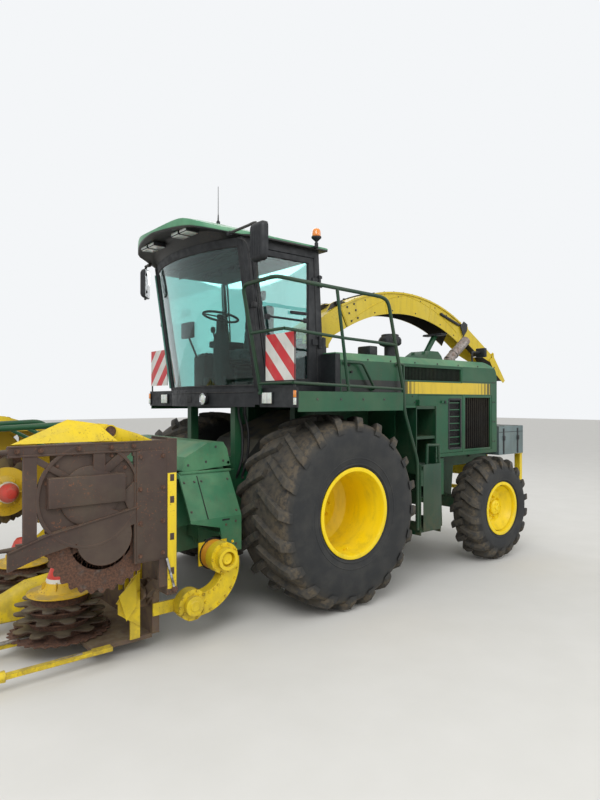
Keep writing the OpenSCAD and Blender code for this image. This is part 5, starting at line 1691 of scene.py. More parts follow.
@dataclass
class Roof:
    """The cab's moulded roof: one smooth dome over an arched, black-lined brow, and the aerial on it."""

    base: float = 3.48
    half: float = 0.95
    rear: float = -0.125
    lip: float = 1.345
    lip_radius: float = 1.53
    crown: Sequence[Point] = ((-0.125, 0.04), (-0.11, 0.09), (-0.02, 0.18), (0.16, 0.26), (0.44, 0.325),
                              (0.76, 0.345), (1.02, 0.315), (1.24, 0.235), (1.345, 0.165))
    arch: Sequence[Point] = ((0.0, 0.350), (0.22, 0.305), (0.42, 0.230), (0.56, 0.168), (0.78, 0.086),
                             (0.95, 0.034))
    brow: Sequence[Point] = ((0.0, 0.132), (0.56, 0.095), (0.78, 0.040), (0.905, 0.0), (0.95, 0.0))

    @staticmethod
    def read(table: Sequence[Point], at: float) -> float:
        """The height that a table of (place, height) gives between its rows.

        Args:
            table: the rows, by rising place.
            at: the place that is asked for.
        Returns:
            The height.
        """
        for (a, p), (b, q) in zip(table, table[1:]):
            if at <= b:
                return p + (q - p) * max(0.0, at - a) / (b - a)
        return table[-1][1]

    def front(self, y: float) -> float:
        """Where the roof's front edge stands: a shallow bow, cut off at the corners."""
        bow = self.lip - self.lip_radius + math.sqrt(self.lip_radius ** 2 - y * y)
        return min(bow, 1.17 - (abs(y) - 0.70) * 1.48)

    def top(self, x: float, y: float) -> float:
        """Height of the dome over its base."""
        a, b = self.read(self.crown, x), self.read(self.arch, abs(y))
        return (a ** -7 + b ** -7) ** (-1 / 7)

    def under(self, x: float, y: float) -> float:
        """Height of the lining over the base: flat over the cab, arched under the brow."""
        share = min(1.0, max(0.0, (x - 0.90 - 0.17 * (1 - (y / 0.82) ** 2)) / 0.035))
        return min(share * self.read(self.brow, abs(y)), self.top(x, y) - 0.024)

    def build(self) -> None:
        """Draws the dome from a grid, closes it with its lining and sets the aerial on it."""
        part = bmesh.new()
        bmesh.ops.create_grid(part, x_segments=48, y_segments=40, size=0.5)
        for v in part.verts:
            y = 2 * self.half * v.co.y
            x = self.rear + (v.co.x + 0.5) * (self.front(y) - self.rear)
            v.co = (x, y, self.base + self.top(x, y))
        inner = [v for v in part.verts if not v.is_boundary]
        for _ in range(3):
            bmesh.ops.smooth_vert(part, verts=inner, factor=0.5, use_axis_z=True)
        grown = bmesh.ops.extrude_face_region(part, geom=part.faces[:])["geom"]
        for v in grown:
            if isinstance(v, bmesh.types.BMVert):
                v.co.z = self.base + self.under(v.co.x, v.co.y)
        bmesh.ops.recalc_face_normals(part, faces=part.faces)
        Bench.ease(part, 0.006, 50)
        Bench().join(part).piece("roof_dome", "chassis", ROOF, Slot.PALE_GREEN, ("cab_roof",), smooth=45)
        mast = Bench().turned([(0, 0.0), (0.021, 0.0), (0.019, 0.062), (0.008, 0.075), (0.006, 0.13),
                               (0.0035, 0.14), (0.0026, 0.425), (0, 0.427)],
                              Matrix.Translation((0.69, 0.165, 3.752)), steps=20)
        mast.piece("aerial", "chassis", BLACK, Slot.BLACK, ("cab_roof",))


@dataclass
class Rails:
    """The platform's guard rail, bent from green tube, and the two grab rails on the body's side."""

    out: float = 1.431
    inner: float = 0.930
    floor: float = 2.05
    middle: float = 2.588
    low: float = 2.125
    side: float = 1.10
    start: float = 0.698
    slope: float = 0.208

    def lean(self, y: float, z: float) -> Point:
        """A point in the plane that the front rail leans in."""
        return (self.start + (z - self.floor) * self.slope, y, z)

    def build(self) -> None:
        """Bends every run, with its foot plates and clamps."""
        bench, y = Bench(), self.out
        main = [self.lean(self.inner, 2.03), self.lean(self.inner, 3.019), self.lean(y, 3.024),
                (0.42, y, 3.01), (-0.41, y, 2.99), (-0.50, y, 2.95), (-0.60, y, 2.55), (-0.722, y, 2.09),
                (-0.738, y, 1.86), (-0.955, 1.425, 1.33), (-0.955, 1.425, 0.62)]
        bench.tube(bent(main, 0.075), 0.018, 14, 1)
        bench.tube([self.lean(self.inner, self.middle), self.lean(y, self.middle)], 0.0145, 12, 1)
        bench.tube(bent([self.lean(y, self.middle), (0.10, y, 2.55), (-0.595, y, 2.53)]), 0.0145, 12, 1)
        bench.tube([self.lean(self.inner, self.low), self.lean(y, self.low)], 0.0135, 12, 1)
        bench.tube([self.lean(y, self.low), (-0.708, y, 2.085)], 0.0135, 12, 1)
        bench.tube([(0.195, y, 3.005), (0.045, y, self.floor + 0.003)], 0.016, 12, 1)
        bench.block((0.680, self.inner - 0.02, 2.024), (0.718, self.inner + 0.02, 2.051), edge=0.003)
        bench.block((0.005, y - 0.035, self.floor), (0.085, y + 0.015, self.floor + 0.008), edge=0.002)
        for line in (((-0.21, self.side, 2.35), (-0.21, 1.15, 2.35), (-0.42, 1.15, 2.35), (-0.60, 1.15, 2.09),
                      (-0.60, self.side, 2.09)),
                     ((-0.99, self.side, 2.36), (-0.99, 1.16, 2.36), (-1.04, 1.16, 2.36), (-1.04, 1.16, 1.96),
                      (-1.04, self.side, 1.96))):
            bench.tube(bent(line, 0.045), 0.0138, 12, 1)
            for foot in (line[0], line[-1]):
                bench.rod((foot[0], self.side, foot[2]), (foot[0], self.side + 0.006, foot[2]), 0.028,
                          sides=16, edge=0.001)
        bench.piece("guard_rails", "chassis", STEP_GREEN, Slot.GREEN, ("handrails",))


@dataclass
class Body:
    """The engine body's fittings: fasteners, latches, mesh, steps, intake, exhaust, tool boxes and hitch."""

    side: float = 1.10
    top: float = 2.46
    door: tuple[float, float] = (-2.185, -1.358)
    door_low: float = 1.355
    door_top: float = 2.03
    intake: Point = (-1.33, 0.70)
    exhaust: Point = (-2.60, 0.60)

    def build(self) -> None:
        """Fits out the body from its sides to its rear."""
        self.fasteners()
        for side in (1, -1):
            self.door_mesh(side)
        self.steps()
        self.deck_gear()
        self.rear_gear()
        self.underside()

    def fasteners(self) -> None:
        """Screws along the panels, lower seams and the black plug near the cab."""
        screws, seams = Bench(), Bench()
        y = self.side
        places = [(x, y, z) for x in (-2.872, -2.83) for z in (1.45, 1.70, 1.95, 2.20)]
        places += [(x, y, z) for x in (-1.30, -1.02) for z in (1.40, 1.62, 1.95)]
        places += [(x, y, 2.395) for x in (-2.86, -2.50, -2.10, -1.70, -1.30, -0.90, -0.55)]
        places += [(x, y, 2.02) for x in (-0.24, -0.62, -0.98, -1.26)]
        screws.bolts(places, (0, 1, 0), 0.007, 0.006)
        screws.bolts([(0.45 - 0.29 * k, 1.45, 1.98) for k in range(4)], (0, 1, 0), 0.008, 0.008)
        screws.mirror().piece("body_screws", "chassis", CAST, Slot.CAST)
        seams.rod((-0.275, y - 0.004, 2.335), (-0.275, y + 0.004, 2.335), 0.021, sides=24, edge=0.001)
        seams.block((-1.0, y - 0.003, 1.318), (-0.992, y + 0.0015, 2.03))
        seams.block((-2.90, y - 0.003, 2.198), (-2.20, y + 0.0012, 2.202))
        seams.rod((-0.30, y + 0.002, 2.26), (-0.30, y + 0.022, 2.26), 0.012, sides=12)
        seams.mirror().piece("body_seams", "chassis", TRIM, Slot.BLACK)

    def door_mesh(self, side: int) -> None:
        """Woven wire in a side door's opening, its frame, latch and hinge pins.

        Args:
            side: 1 for the left side, -1 for the right one.
        """
        bench = Bench()
        x0, x1 = self.door[0] + 0.035, self.door[0] + 0.270
        z0, z1 = self.door_low + 0.045, self.door_top - 0.045
        for k in range(1, 15):
            x = x0 + (x1 - x0) * k / 15
            bench.rod((x, side * 1.0865, z0), (x, side * 1.0865, z1), 0.0016, sides=5)
        for k in range(1, 36):
            z = z0 + (z1 - z0) * k / 36
            bench.rod((x0, side * 1.089, z), (x1, side * 1.089, z), 0.0016, sides=5)
        for x in (x0, x1):
            bench.side_block(side, (x - 0.012, 1.096, z0), (x + 0.012, 1.104, z1), 0.002)
        for z in (z0, z1):
            bench.side_block(side, (x0, 1.096, z - 0.012), (x1, 1.104, z + 0.012), 0.002)
        x, z = self.door[0] + 0.36, self.door_top - 0.076
        bench.rod((x, side * 1.11, z), (x, side * 1.124, z), 0.016, sides=20, edge=0.002)
        name = side_name(side)
        bench.piece(f"door_mesh_{name}", f"side_door_{name}", BLACK, Slot.BLACK)

    def steps(self) -> None:
        """Serrated treads in the ladder's steps, a fuel cap and the platform's grip strips."""
        bench = Bench()
        for z in (0.630, 0.955, 1.280):
            for k in range(8):
                y = 1.20 + k * 0.033
                bench.block((-1.289, y, z - 0.024), (-0.996, y + 0.004, z + 0.001))
                for n in range(14):
                    bench.rod((-1.28 + n * 0.0215, y + 0.002, z - 0.004),
                              (-1.28 + n * 0.0215, y + 0.002, z + 0.008), 0.006, tip=0.002, sides=4)
        bench.block((-1.292, 1.462, 0.600), (-0.998, 1.466, 1.300), edge=0.001)
        bench.piece("step_treads", "chassis", STEP_GREEN, Slot.GREEN)
        grip = Bench()
        for k in range(12):
            x = -0.62 + k * 0.10
            grip.block((x, 0.93, 2.050), (x + 0.006, 1.42, 2.0535), edge=0.001)
        grip.mirror().piece("platform_grips", "chassis", STEP_GREEN, Slot.GREEN)
        cap = Bench()
        cap.turned([(0, 0.0), (0.052, 0.0), (0.052, 0.030), (0.044, 0.040), (0, 0.043)],
                   Matrix.Translation((-1.12, 1.0, 1.306)), steps=36, edge=0.002)
        cap.block((-1.16, 0.994, 1.345), (-1.08, 1.006, 1.362), edge=0.003)
        cap.piece("tank_cap", "chassis", HEADER_YELLOW, Slot.HEADER)

    def deck_gear(self) -> None:
        """Air intake with its bowl, breather, exhaust, the spout's rest and the access lid."""
        black, green, pipe = Bench(), Bench(), Bench()
        bowl = [(0, 2.455), (0.100, 2.455), (0.100, 2.475), (0.068, 2.485), (0.068, 2.600), (0.120, 2.622),
                (0.130, 2.635), (0.130, 2.690), (0.118, 2.712), (0.104, 2.716), (0.102, 2.742),
                (0.085, 2.748), (0, 2.750)]
        x, y = self.intake
        black.turned(bowl, Matrix.Translation((x, y, 0)), steps=48, edge=0.002)
        for px, py in ((x + 0.131 * c, y + 0.131 * s) for c, s in around(18)):
            black.rod((px, py, 2.640), (px, py, 2.686), 0.004, sides=6)
        black.block((-1.06, 0.56, 2.458), (-0.93, 0.76, 2.590), edge=0.015)
        black.block((-3.11, -0.17, 2.905), (-2.99, 0.17, 2.930), edge=0.006)
        for k in range(5):
            black.block((-3.105 + k * 0.022, -0.165, 2.928), (-3.095 + k * 0.022, 0.165, 2.936), edge=0.002)
        black.piece("deck_black_gear", "chassis", BLACK, Slot.BLACK, ("deck_fittings",))
        green.block((-2.76, -0.115, 2.455), (-2.68, 0.115, 2.480), edge=0.004)
        green.loft([[Vector((x, y, z)) for x, y in ((a, -w), (b, -w), (b, w), (a, w))]
                    for z, a, b, w in ((2.456, -2.98, -2.56, 0.24), (2.600, -2.95, -2.64, 0.20),
                                       (2.665, -2.93, -2.72, 0.16))])
        strut = [(-2.69, 2.478), (-2.745, 2.478), (-3.08, 2.890), (-3.08, 2.906), (-3.02, 2.906)]
        gusset = [(-2.62, 2.458), (-2.80, 2.458), (-2.86, 2.60), (-2.80, 2.66), (-2.66, 2.66)]
        for outline, y in ((strut, -0.030), (strut, 0.018), (gusset, -0.10), (gusset, 0.088)):
            green.plate(outline, "Y", y, y + 0.012, 0.001)
        green.block((-2.06, -0.46, 2.455), (-1.44, 0.46, 2.478), edge=0.006)
        for x in (-1.95, -1.55):
            green.rod((x, 0.46, 2.472), (x + 0.08, 0.46, 2.472), 0.012, sides=14)
        green.piece("deck_green_gear", "chassis", GREEN, Slot.GREEN, ("deck_fittings",))
        pipe.turned([(0, 2.455), (0.098, 2.455), (0.098, 2.468), (0.076, 2.474), (0.074, 2.535), (0, 2.535)],
                    Matrix.Translation((*self.exhaust, 0)), steps=36)
        elbow, end = Vector((*self.exhaust, 2.525)), Vector((-2.96, self.exhaust[1], 2.79))
        slope = Matrix.Translation(elbow) @ (end - elbow).to_track_quat("Z", "Y").to_matrix().to_4x4()
        pipe.turned([(0.062, -0.04), (0.062, 0.447), (0.056, 0.447), (0.056, -0.04)], slope, steps=36,
                    ring=True)
        pipe.turned([(0.060, 0.10), (0.068, 0.10), (0.068, 0.125), (0.060, 0.125)], slope, steps=36,
                    ring=True)
        pipe.piece("exhaust_pipe", "chassis", EXHAUST, Slot.STEEL, ("deck_fittings",))

    def rear_gear(self) -> None:
        """Lids, straps and catches on the rear boxes, and bolts and pins on the bumper frame."""
        strap, bolt = Bench(), Bench()
        for x in (-3.24, -3.58):
            strap.block((x, 1.008, 1.26), (x + 0.035, 1.014, 1.60), edge=0.0015)
            strap.block((x, 0.54, 1.628), (x + 0.035, 1.012, 1.634), edge=0.0015)
            strap.block((x - 0.006, 1.012, 1.44), (x + 0.041, 1.024, 1.50), edge=0.003)
        strap.block((-3.695, 1.007, 1.548), (-3.115, 1.012, 1.554))
        strap.mirror().piece("box_straps", "chassis", BLACK, Slot.BLACK)
        bolt.bolts([(-3.762, y, z) for y in (0.90, 0.94) for z in (0.70, 0.98, 1.20)], (-1, 0, 0), 0.011,
                   0.012)
        bolt.bolts([(-3.656, y, z) for y in (0.30, 0.44) for z in (1.13, 1.24)], (-1, 0, 0), 0.012, 0.013)
        bolt.mirror()
        bolt.rod((-3.800, 0, 0.975), (-3.800, 0, 1.160), 0.0155, sides=20, edge=0.001)
        bolt.rod((-3.800, 0, 1.155), (-3.800, 0, 1.170), 0.028, sides=20, edge=0.002)
        bolt.piece("hitch_bolts", "chassis", CAST, Slot.CAST)

    def underside(self) -> None:
        """Bolts on the final drives, brackets and axle, and the lines that run to the header's cylinders."""
        bolt = Bench()
        bolt.bolts([(0.192 * c, 0.846, 0.915 + 0.192 * s) for c, s in around(12)], (0, 1, 0), 0.010, 0.010)
        bolt.bolts([(x, 0.480, z) for x in (-0.14, 0.14) for z in (0.82, 0.96, 1.05)], (0, 1, 0), 0.012,
                   0.012)
        bolt.bolts([(x, 0.480, 1.20) for x in (0.60, 0.30, -0.40, -1.19, -2.0, -2.6, -3.2)], (0, 1, 0), 0.011,
                   0.011)
        bolt.mirror().piece("frame_bolts", "chassis", CAST, Slot.CAST)
        line = Bench()
        for y in (0.500, 0.522):
            line.tube([(-0.30, y, 1.15), (0.05, y, 1.16), (0.30, y, 1.10), (0.42, y, 0.96),
                       (0.40, y + 0.02, 0.80), (0.36, 0.56, 0.69)], 0.010)
        line.mirror().piece("lift_lines", "chassis", HOSE, Slot.BLACK)


@dataclass
class Grilles:
    """The louvred panels: upright blades beside the radiator and under the deck, and the rear screen."""

    side: float = 1.10
    rear: tuple[float, float, float, float] = (-2.8095, -2.2155, 1.351, 2.034)
    band: tuple[float, float, float, float] = (-2.1795, -1.0705, 2.1805, 2.3645)
    screen: float = -2.918
    half: float = 0.8197

    def panel(self, blades: Bench, frame_bench: Bench, box: tuple[float, float, float, float], rim: float,
              pitch: float, width: float) -> None:
        """One framed row of upright blades on the left side.

        Args:
            blades: the bench for the blades.
            frame_bench: the bench for the frame.
            box: x from, x to, z from and z to.
            rim: width of the frame.
            pitch: distance between two blades.
            width: width of a blade.
        """
        x0, x1, z0, z1 = box
        y0, y1 = self.side - 0.028, self.side - 0.004
        for low, high in (((x0, y0, z0), (x0 + rim, y1, z1)), ((x1 - rim, y0, z0), (x1, y1, z1)),
                          ((x0 + rim, y0, z0), (x1 - rim, y1, z0 + rim)),
                          ((x0 + rim, y0, z1 - rim), (x1 - rim, y1, z1))):
            frame_bench.block(low, high, 0.0015)
        count = int((x1 - x0 - 2 * rim) / pitch)
        for k in range(count):
            x = x0 + rim + (k + 0.5) * (x1 - x0 - 2 * rim) / count
            blades.block((x - width / 2, self.side - 0.0175, z0 + rim),
                         (x + width / 2, self.side - 0.0145, z1 - rim), 0.0006,
                         Matrix.Rotation(math.radians(35), 4, "Z"))

    def build(self) -> None:
        """Makes both sides, the rear screen and the dark cooler behind them."""
        blades, frames, core = Bench(), Bench(), Bench()
        self.panel(blades, frames, self.rear, 0.028, 0.0405, 0.032)
        self.panel(blades, frames, self.band, 0.018, 0.0240, 0.020)
        blades.mirror()
        frames.mirror()
        x = self.screen
        for z0, z1 in ((1.4503, 1.480), (2.120, 2.1497)):
            frames.block((x, -self.half, z0), (x + 0.022, self.half, z1), 0.002)
        for y0, y1 in ((-self.half, -0.790), (-0.290, -0.250), (0.250, 0.290), (0.790, self.half)):
            frames.block((x, y0, 1.480), (x + 0.022, y1, 2.120), 0.002)
        for y in (-0.54, 0.0, 0.54):
            for k in range(15):
                blades.block((x - 0.003, y - 0.25, 1.497 + k * 0.043),
                             (x + 0.025, y + 0.25, 1.503 + k * 0.043), 0.0008,
                             Matrix.Rotation(math.radians(35), 4, "Y"))
        blades.piece("louvre_blades", "chassis", LOUVRES, Slot.GRILLE, ("side_grilles",))
        frames.piece("louvre_frames", "chassis", GREEN, Slot.GREEN, ("side_grilles",))
        core.block((-2.82, 1.046, 1.352), (-1.385, 1.050, 2.172))
        core.block((-2.19, 1.046, 2.176), (-1.06, 1.050, 2.372))
        core.mirror()
        core.block((-2.872, -0.83, 1.44), (-2.868, 0.83, 2.16))
        core.piece("cooler_core", "chassis", CORE, Slot.BLACK)


@dataclass
class Spout:
    """The discharge spout: creased and bolted sides, its hinge and ends, and the turret's ring."""

    centre: Point = (-2.220, 0.750)
    outer: float = 2.660
    inner: float = 2.375
    half: float = 0.165
    turret_x: float = -0.640
    teeth: int = 80

    def at(self, radius: float, angle: float, y: float) -> Point:
        """A point on the spout's circle, angle degrees forward of its top."""
        a = math.radians(angle)
        return (self.centre[0] + radius * math.sin(a), y, self.centre[1] + radius * math.cos(a))

    def build(self) -> None:
        """Adds what is fixed to the spout and to the turret."""
        rib, bolt, dark, ring = Bench(), Bench(), Bench(), Bench()
        strap = ((2.380, -0.001), (2.380, 0.005), (2.636, 0.005), (2.636, -0.001))
        saddle = ((2.655, -0.03), (2.655, 0.03), (2.715, 0.012), (2.715, -0.012))
        lever = ((2.50, -30.2), (2.60, -27.2), (2.70, -28.0), (2.71, -30.0), (2.62, -30.8))
        for side in (1, -1):
            y = side * self.half
            rib.tube([self.at(2.630 - 0.0085 * a, a, y) for a in range(0, 25, 3)], 0.005, 8, 1)
            rib.tube([self.at(2.630 - 0.0055 * a, -a, y) for a in range(0, 29, 3)], 0.005, 8, 1)
            for low, high in ((-29.6, -28.9), (-12.4, -11.9), (8.2, 8.8), (25.8, 26.5)):
                rib.loft([[Vector(self.at(r, a, y + side * d)) for r, d in strap] for a in (low, high)])
            bolt.bolts([self.at(r, a, y + side * 0.004) for r in (2.42, 2.52, 2.60) for a in (24.4, 21.6)],
                       (0, side, 0), 0.009, 0.010)
            bolt.bolts([self.at(2.60, a, y) for a in (-27, -20, -14, -7, 3, 12, 17)], (0, side, 0), 0.007,
                       0.007)
            bolt.bolts([self.at(2.415, a, y) for a in (-26, -18, -5, 6, 14)], (0, side, 0), 0.007, 0.007)
        for a in range(-27, 26, 4):
            for y in (-0.172, 0.172):
                foot = Vector(self.at(self.outer, a, y))
                bolt.bolts([foot], foot - Vector((self.centre[0], y, self.centre[1])), 0.007, 0.006, False)
        dark.rod(self.at(2.700, -21.0, 0.06), self.at(2.720, -26.0, 0.06), 0.022, sides=20, edge=0.002)
        dark.rod(self.at(2.720, -26.0, 0.06), self.at(2.725, -29.6, 0.06), 0.010, sides=16)
        for a in (-21.0, -26.2):
            rib.loft([[Vector(self.at(r, a + d, 0.06 + w)) for r, w in saddle] for d in (-0.12, 0.12)])
        dark.tube([self.at(2.668, a, -0.06) for a in (24, 15, 5, -8, -18, -24)]
                  + [self.at(2.700, -27.0, -0.04)], 0.009, 10, 3)
        for clip in (self.at(2.668, a, -0.06) for a in (20, 8, -4, -15)):
            dark.block([c - 0.013 for c in clip], [c + 0.013 for c in clip], 0.003)
        for side in (1, -1):
            y = side * 0.176
            dark.rod(self.at(2.56, -17.0, y), self.at(2.60, -26.5, y), 0.020, sides=20, edge=0.002)
            dark.rod(self.at(2.60, -26.0, y), self.at(2.66, -29.8, y), 0.010, sides=14)
            dark.loft([[Vector(self.at(r, a, y + d)) for r, a in lever] for d in (0.012, 0.020)])
            dark.rod(self.at(2.56, -17.0, side * 0.160), self.at(2.56, -17.0, side * 0.200), 0.016, sides=16)
        rib.piece("spout_ribs", "spout", SPOUT_YELLOW, Slot.SPOUT)
        bolt.piece("spout_bolts", "spout", CAST, Slot.CAST)
        dark.piece("spout_lines", "spout", HOSE, Slot.BLACK)
        ring.bolts([(self.turret_x + 0.242 * c, 0.242 * s, 2.5) for c, s in around(20)], (0, 0, 1), 0.010,
                   0.010)
        ring.bolts([(self.turret_x + 0.16, 0.165, z) for z in (2.66, 2.74)], (0, 1, 0), 0.009, 0.010)
        ring.piece("turret_bolts", "turret", CAST, Slot.CAST)
        teeth = Bench()
        outline = []
        for k in range(self.teeth):
            for share, r in ((0.0, 0.2615), (0.3, 0.2615), (0.45, 0.251), (0.85, 0.251)):
                a = (k + share) * math.tau / self.teeth
                outline.append((self.turret_x + r * math.cos(a), r * math.sin(a)))
        teeth.plate(outline, "Z", 2.4635, 2.496)
        teeth.piece("slew_teeth", "turret", STEEL, Slot.STEEL)
        motor = Bench()
        x, y = self.turret_x + 0.10, 0.375
        motor.turned([(0, 0.0), (0.075, 0.0), (0.075, 0.016), (0.058, 0.024), (0.058, 0.120), (0.052, 0.128),
                      (0.052, 0.215), (0.044, 0.225), (0, 0.225)], Matrix.Translation((x, y, 2.4605)),
                     steps=32, edge=0.002)
        motor.bolts([(x + 0.064 * c, y + 0.064 * s, 2.4765) for c, s in around(4)], (0, 0, 1), 0.007, 0.008)
        motor.piece("slew_motor", "chassis", BLACK, Slot.BLACK)


@dataclass
class Rotor:
    """One crop rotor: a saw disc, three tiers of hooked teeth, a flange and a painted cap."""

    name: str
    side: int
    outer: bool
    x: float = 2.400
    pitch: float = 0.560
    fold_y: float = 1.120
    fold_z: float = 0.480
    saw_r: float = 0.389
    tiers: Sequence[Point] = ((0.196, 0.357, 0.0), (0.286, 0.345, 8.0), (0.372, 0.333, 16.0))

    def place(self) -> Matrix:
        """From the rotor's own upright frame to its stand, folded up with its wing if it is an outer one.

        Returns:
            The move.
        """
        reach = 3 if self.outer else 1
        upright = Matrix.Translation((self.x, self.side * reach * self.pitch, 0))
        if not self.outer:
            return upright
        hinge = Matrix.Translation((0, self.side * self.fold_y, self.fold_z))
        return hinge @ Matrix.Rotation(math.radians(90 * self.side), 4, "X") @ hinge.inverted() @ upright

    @staticmethod
    def ring(teeth: int, radius: float, shape: Sequence[Point], low: float, high: float,
             turn: float) -> bmesh.types.BMesh:
        """A flat toothed ring; shape holds one tooth's (share of the pitch, depth) points.

        Args:
            teeth: how many teeth it has.
            radius: at the teeth's tips.
            shape: one tooth's (share of the pitch, depth) points.
            low: its lower face.
            high: its upper face.
            turn: how far it is turned, in degrees.
        Returns:
            The form.
        """
        outline = []
        for n in range(teeth):
            for share, depth in shape:
                a = math.radians(turn) + (n + share) * math.tau / teeth
                outline.append(((radius - depth) * math.cos(a), (radius - depth) * math.sin(a)))
        return Bench().plate(outline, "Z", low, high, 0.0012).bm

    def build(self) -> None:
        """Makes the rusty steel, the yellow tiers and the red and white cap."""
        steel, tiers, cover, place = Bench(), Bench(), Bench(), self.place()
        saw = ((0.0, 0.0), (0.12, 0.002), (0.30, 0.010), (0.46, 0.025), (0.62, 0.025), (0.78, 0.014),
               (0.92, 0.002))
        steel.join(self.ring(32, self.saw_r, saw, 0.142, 0.1485, 0.0))
        steel.turned([(0, 0.142), (0.228, 0.142), (0.228, 0.200), (0.212, 0.215), (0.212, 0.400),
                      (0.19, 0.438), (0, 0.438)], Matrix.Identity(4), steps=64, edge=0.002)
        steel.bolts([(0.335 * c, 0.335 * s, 0.1485) for c, s in around(16, 0.5)], (0, 0, 1), 0.010, 0.012)
        for z in (0.252, 0.338):
            steel.turned([(0.21, z - 0.004), (0.255, z - 0.004), (0.255, z + 0.004), (0.21, z + 0.004)],
                         Matrix.Identity(4), steps=56, ring=True)
        hook = ((0.0, 0.002), (0.10, 0.0), (0.22, 0.005), (0.34, 0.018), (0.40, 0.040), (0.42, 0.070),
                (0.50, 0.090), (0.62, 0.094), (0.72, 0.086), (0.82, 0.054), (0.92, 0.020))
        for low, radius, turn in self.tiers:
            tiers.join(self.ring(10, radius, hook, low, low + 0.0095, turn))
            steel.join(self.ring(10, radius - 0.012, hook, low - 0.006, low, turn))
        cover.turned([(0, 0.440), (0.19, 0.440), (0.248, 0.444), (0.250, 0.448), (0.248, 0.453),
                      (0.165, 0.462), (0.122, 0.500), (0.110, 0.532), (0.0, 0.532)], Matrix.Identity(4),
                     steps=64)
        for k in range(6):
            fin = Bench().plate([(0.120, 0.455), (0.142, 0.455), (0.142, 0.530), (0.130, 0.542),
                                 (0.104, 0.542)], "Y", -0.004, 0.004, 0.001).bm
            cover.join(fin, Matrix.Rotation(k * math.tau / 6, 4, "Z"))
        white, red = Bench(), Bench()
        white.turned([(0, 0.531), (0.1103, 0.531), (0.099, 0.562), (0, 0.562)], Matrix.Identity(4), steps=48)
        red.turned([(0, 0.561), (0.0993, 0.561), (0.069, 0.642), (0.046, 0.672), (0.020, 0.679),
                    (0.0, 0.680)], Matrix.Identity(4), steps=48)
        node = f"rotor_{self.name}"
        benches = ((steel, "steel", RUSTY, Slot.STEEL), (tiers, "tiers", TIER, Slot.STEEL),
                   (cover, "cover", TIER_YELLOW, Slot.HEADER), (white, "cap", TIP_WHITE, Slot.HEADER),
                   (red, "tip", TIP_RED, Slot.BOARD))
        for bench, kind, finish, slot in benches:
            bench.moved(place).piece(f"{node}_{kind}", node, finish, slot, (node,), smooth=35)


@dataclass
class DriveCase:
    """The curved yellow drive case beside the feeder, its sleeve and its two bearing caps."""

    inner: float = 1.105
    outer: float = 1.200
    centre: Point = (1.470, 0.600)
    upper: Point = (1.260, 0.650)
    lower: Point = (1.560, 0.320)
    reach: float = 0.45

    def build(self) -> None:
        """Bolts the case together and fits its sleeve."""
        bench, bolts, sleeve, dark = Bench(), Bench(), Bench(), Bench()
        cx, cz = self.centre
        for (x, z), r in ((self.upper, 0.050), (self.lower, 0.047)):
            at = Matrix.Translation((x, self.outer, z)) @ LEFTWARD
            bench.turned([(0, 0.0), (r + 0.022, 0.0), (r + 0.022, 0.010), (r, 0.014), (r, 0.040),
                          (r - 0.010, 0.048), (r - 0.018, 0.044), (0, 0.044)], at, steps=40, edge=0.0015)
            places = [(x + (r + 0.068) * c, self.outer, z + (r + 0.068) * s) for c, s in around(10)]
            on_case = [place for place in places if math.hypot(place[0] - cx, place[2] - cz) < self.reach]
            bolts.bolts(on_case, (0, 1, 0), 0.009, 0.011)
        arc = [math.radians(a) for a in range(150, 294, 13)]
        for radius, x in ((0.360, cx + 0.026), (0.216, cx)):
            bolts.bolts([(x + radius * math.cos(a), self.outer, cz + radius * math.sin(a)) for a in arc],
                        (0, 1, 0), 0.009, 0.011)
        flange = [(cx + 0.026 + 0.378 * math.cos(a), self.outer - 0.052, cz + 0.378 * math.sin(a))
                  for a in (math.radians(d) for d in range(174, 290, 6))]
        bench.tube(flange, 0.013, 8, 1)
        bench.piece("drive_case_caps", "header", HEADER_YELLOW, Slot.HEADER)
        bolts.piece("drive_case_bolts", "header", HEADER_YELLOW, Slot.HEADER)
        x, z = self.upper
        at = Matrix.Translation((x, 0.0, z)) @ LEFTWARD
        sleeve.turned([(0.090, 1.012), (0.124, 1.012), (0.126, 1.030), (0.120, 1.060), (0.114, 1.090),
                       (0.100, 1.100), (0.088, 1.100)], at, steps=48, ring=True, edge=0.002)
        sleeve.piece("shaft_sleeve", "header", ORANGE, Slot.HEADER)
        dark.turned([(0.095, 0.985), (0.134, 0.985), (0.136, 0.998), (0.134, 1.012), (0.095, 1.012)], at,
                    steps=48, ring=True)
        dark.piece("shaft_ring", "header", TRIM, Slot.BLACK)


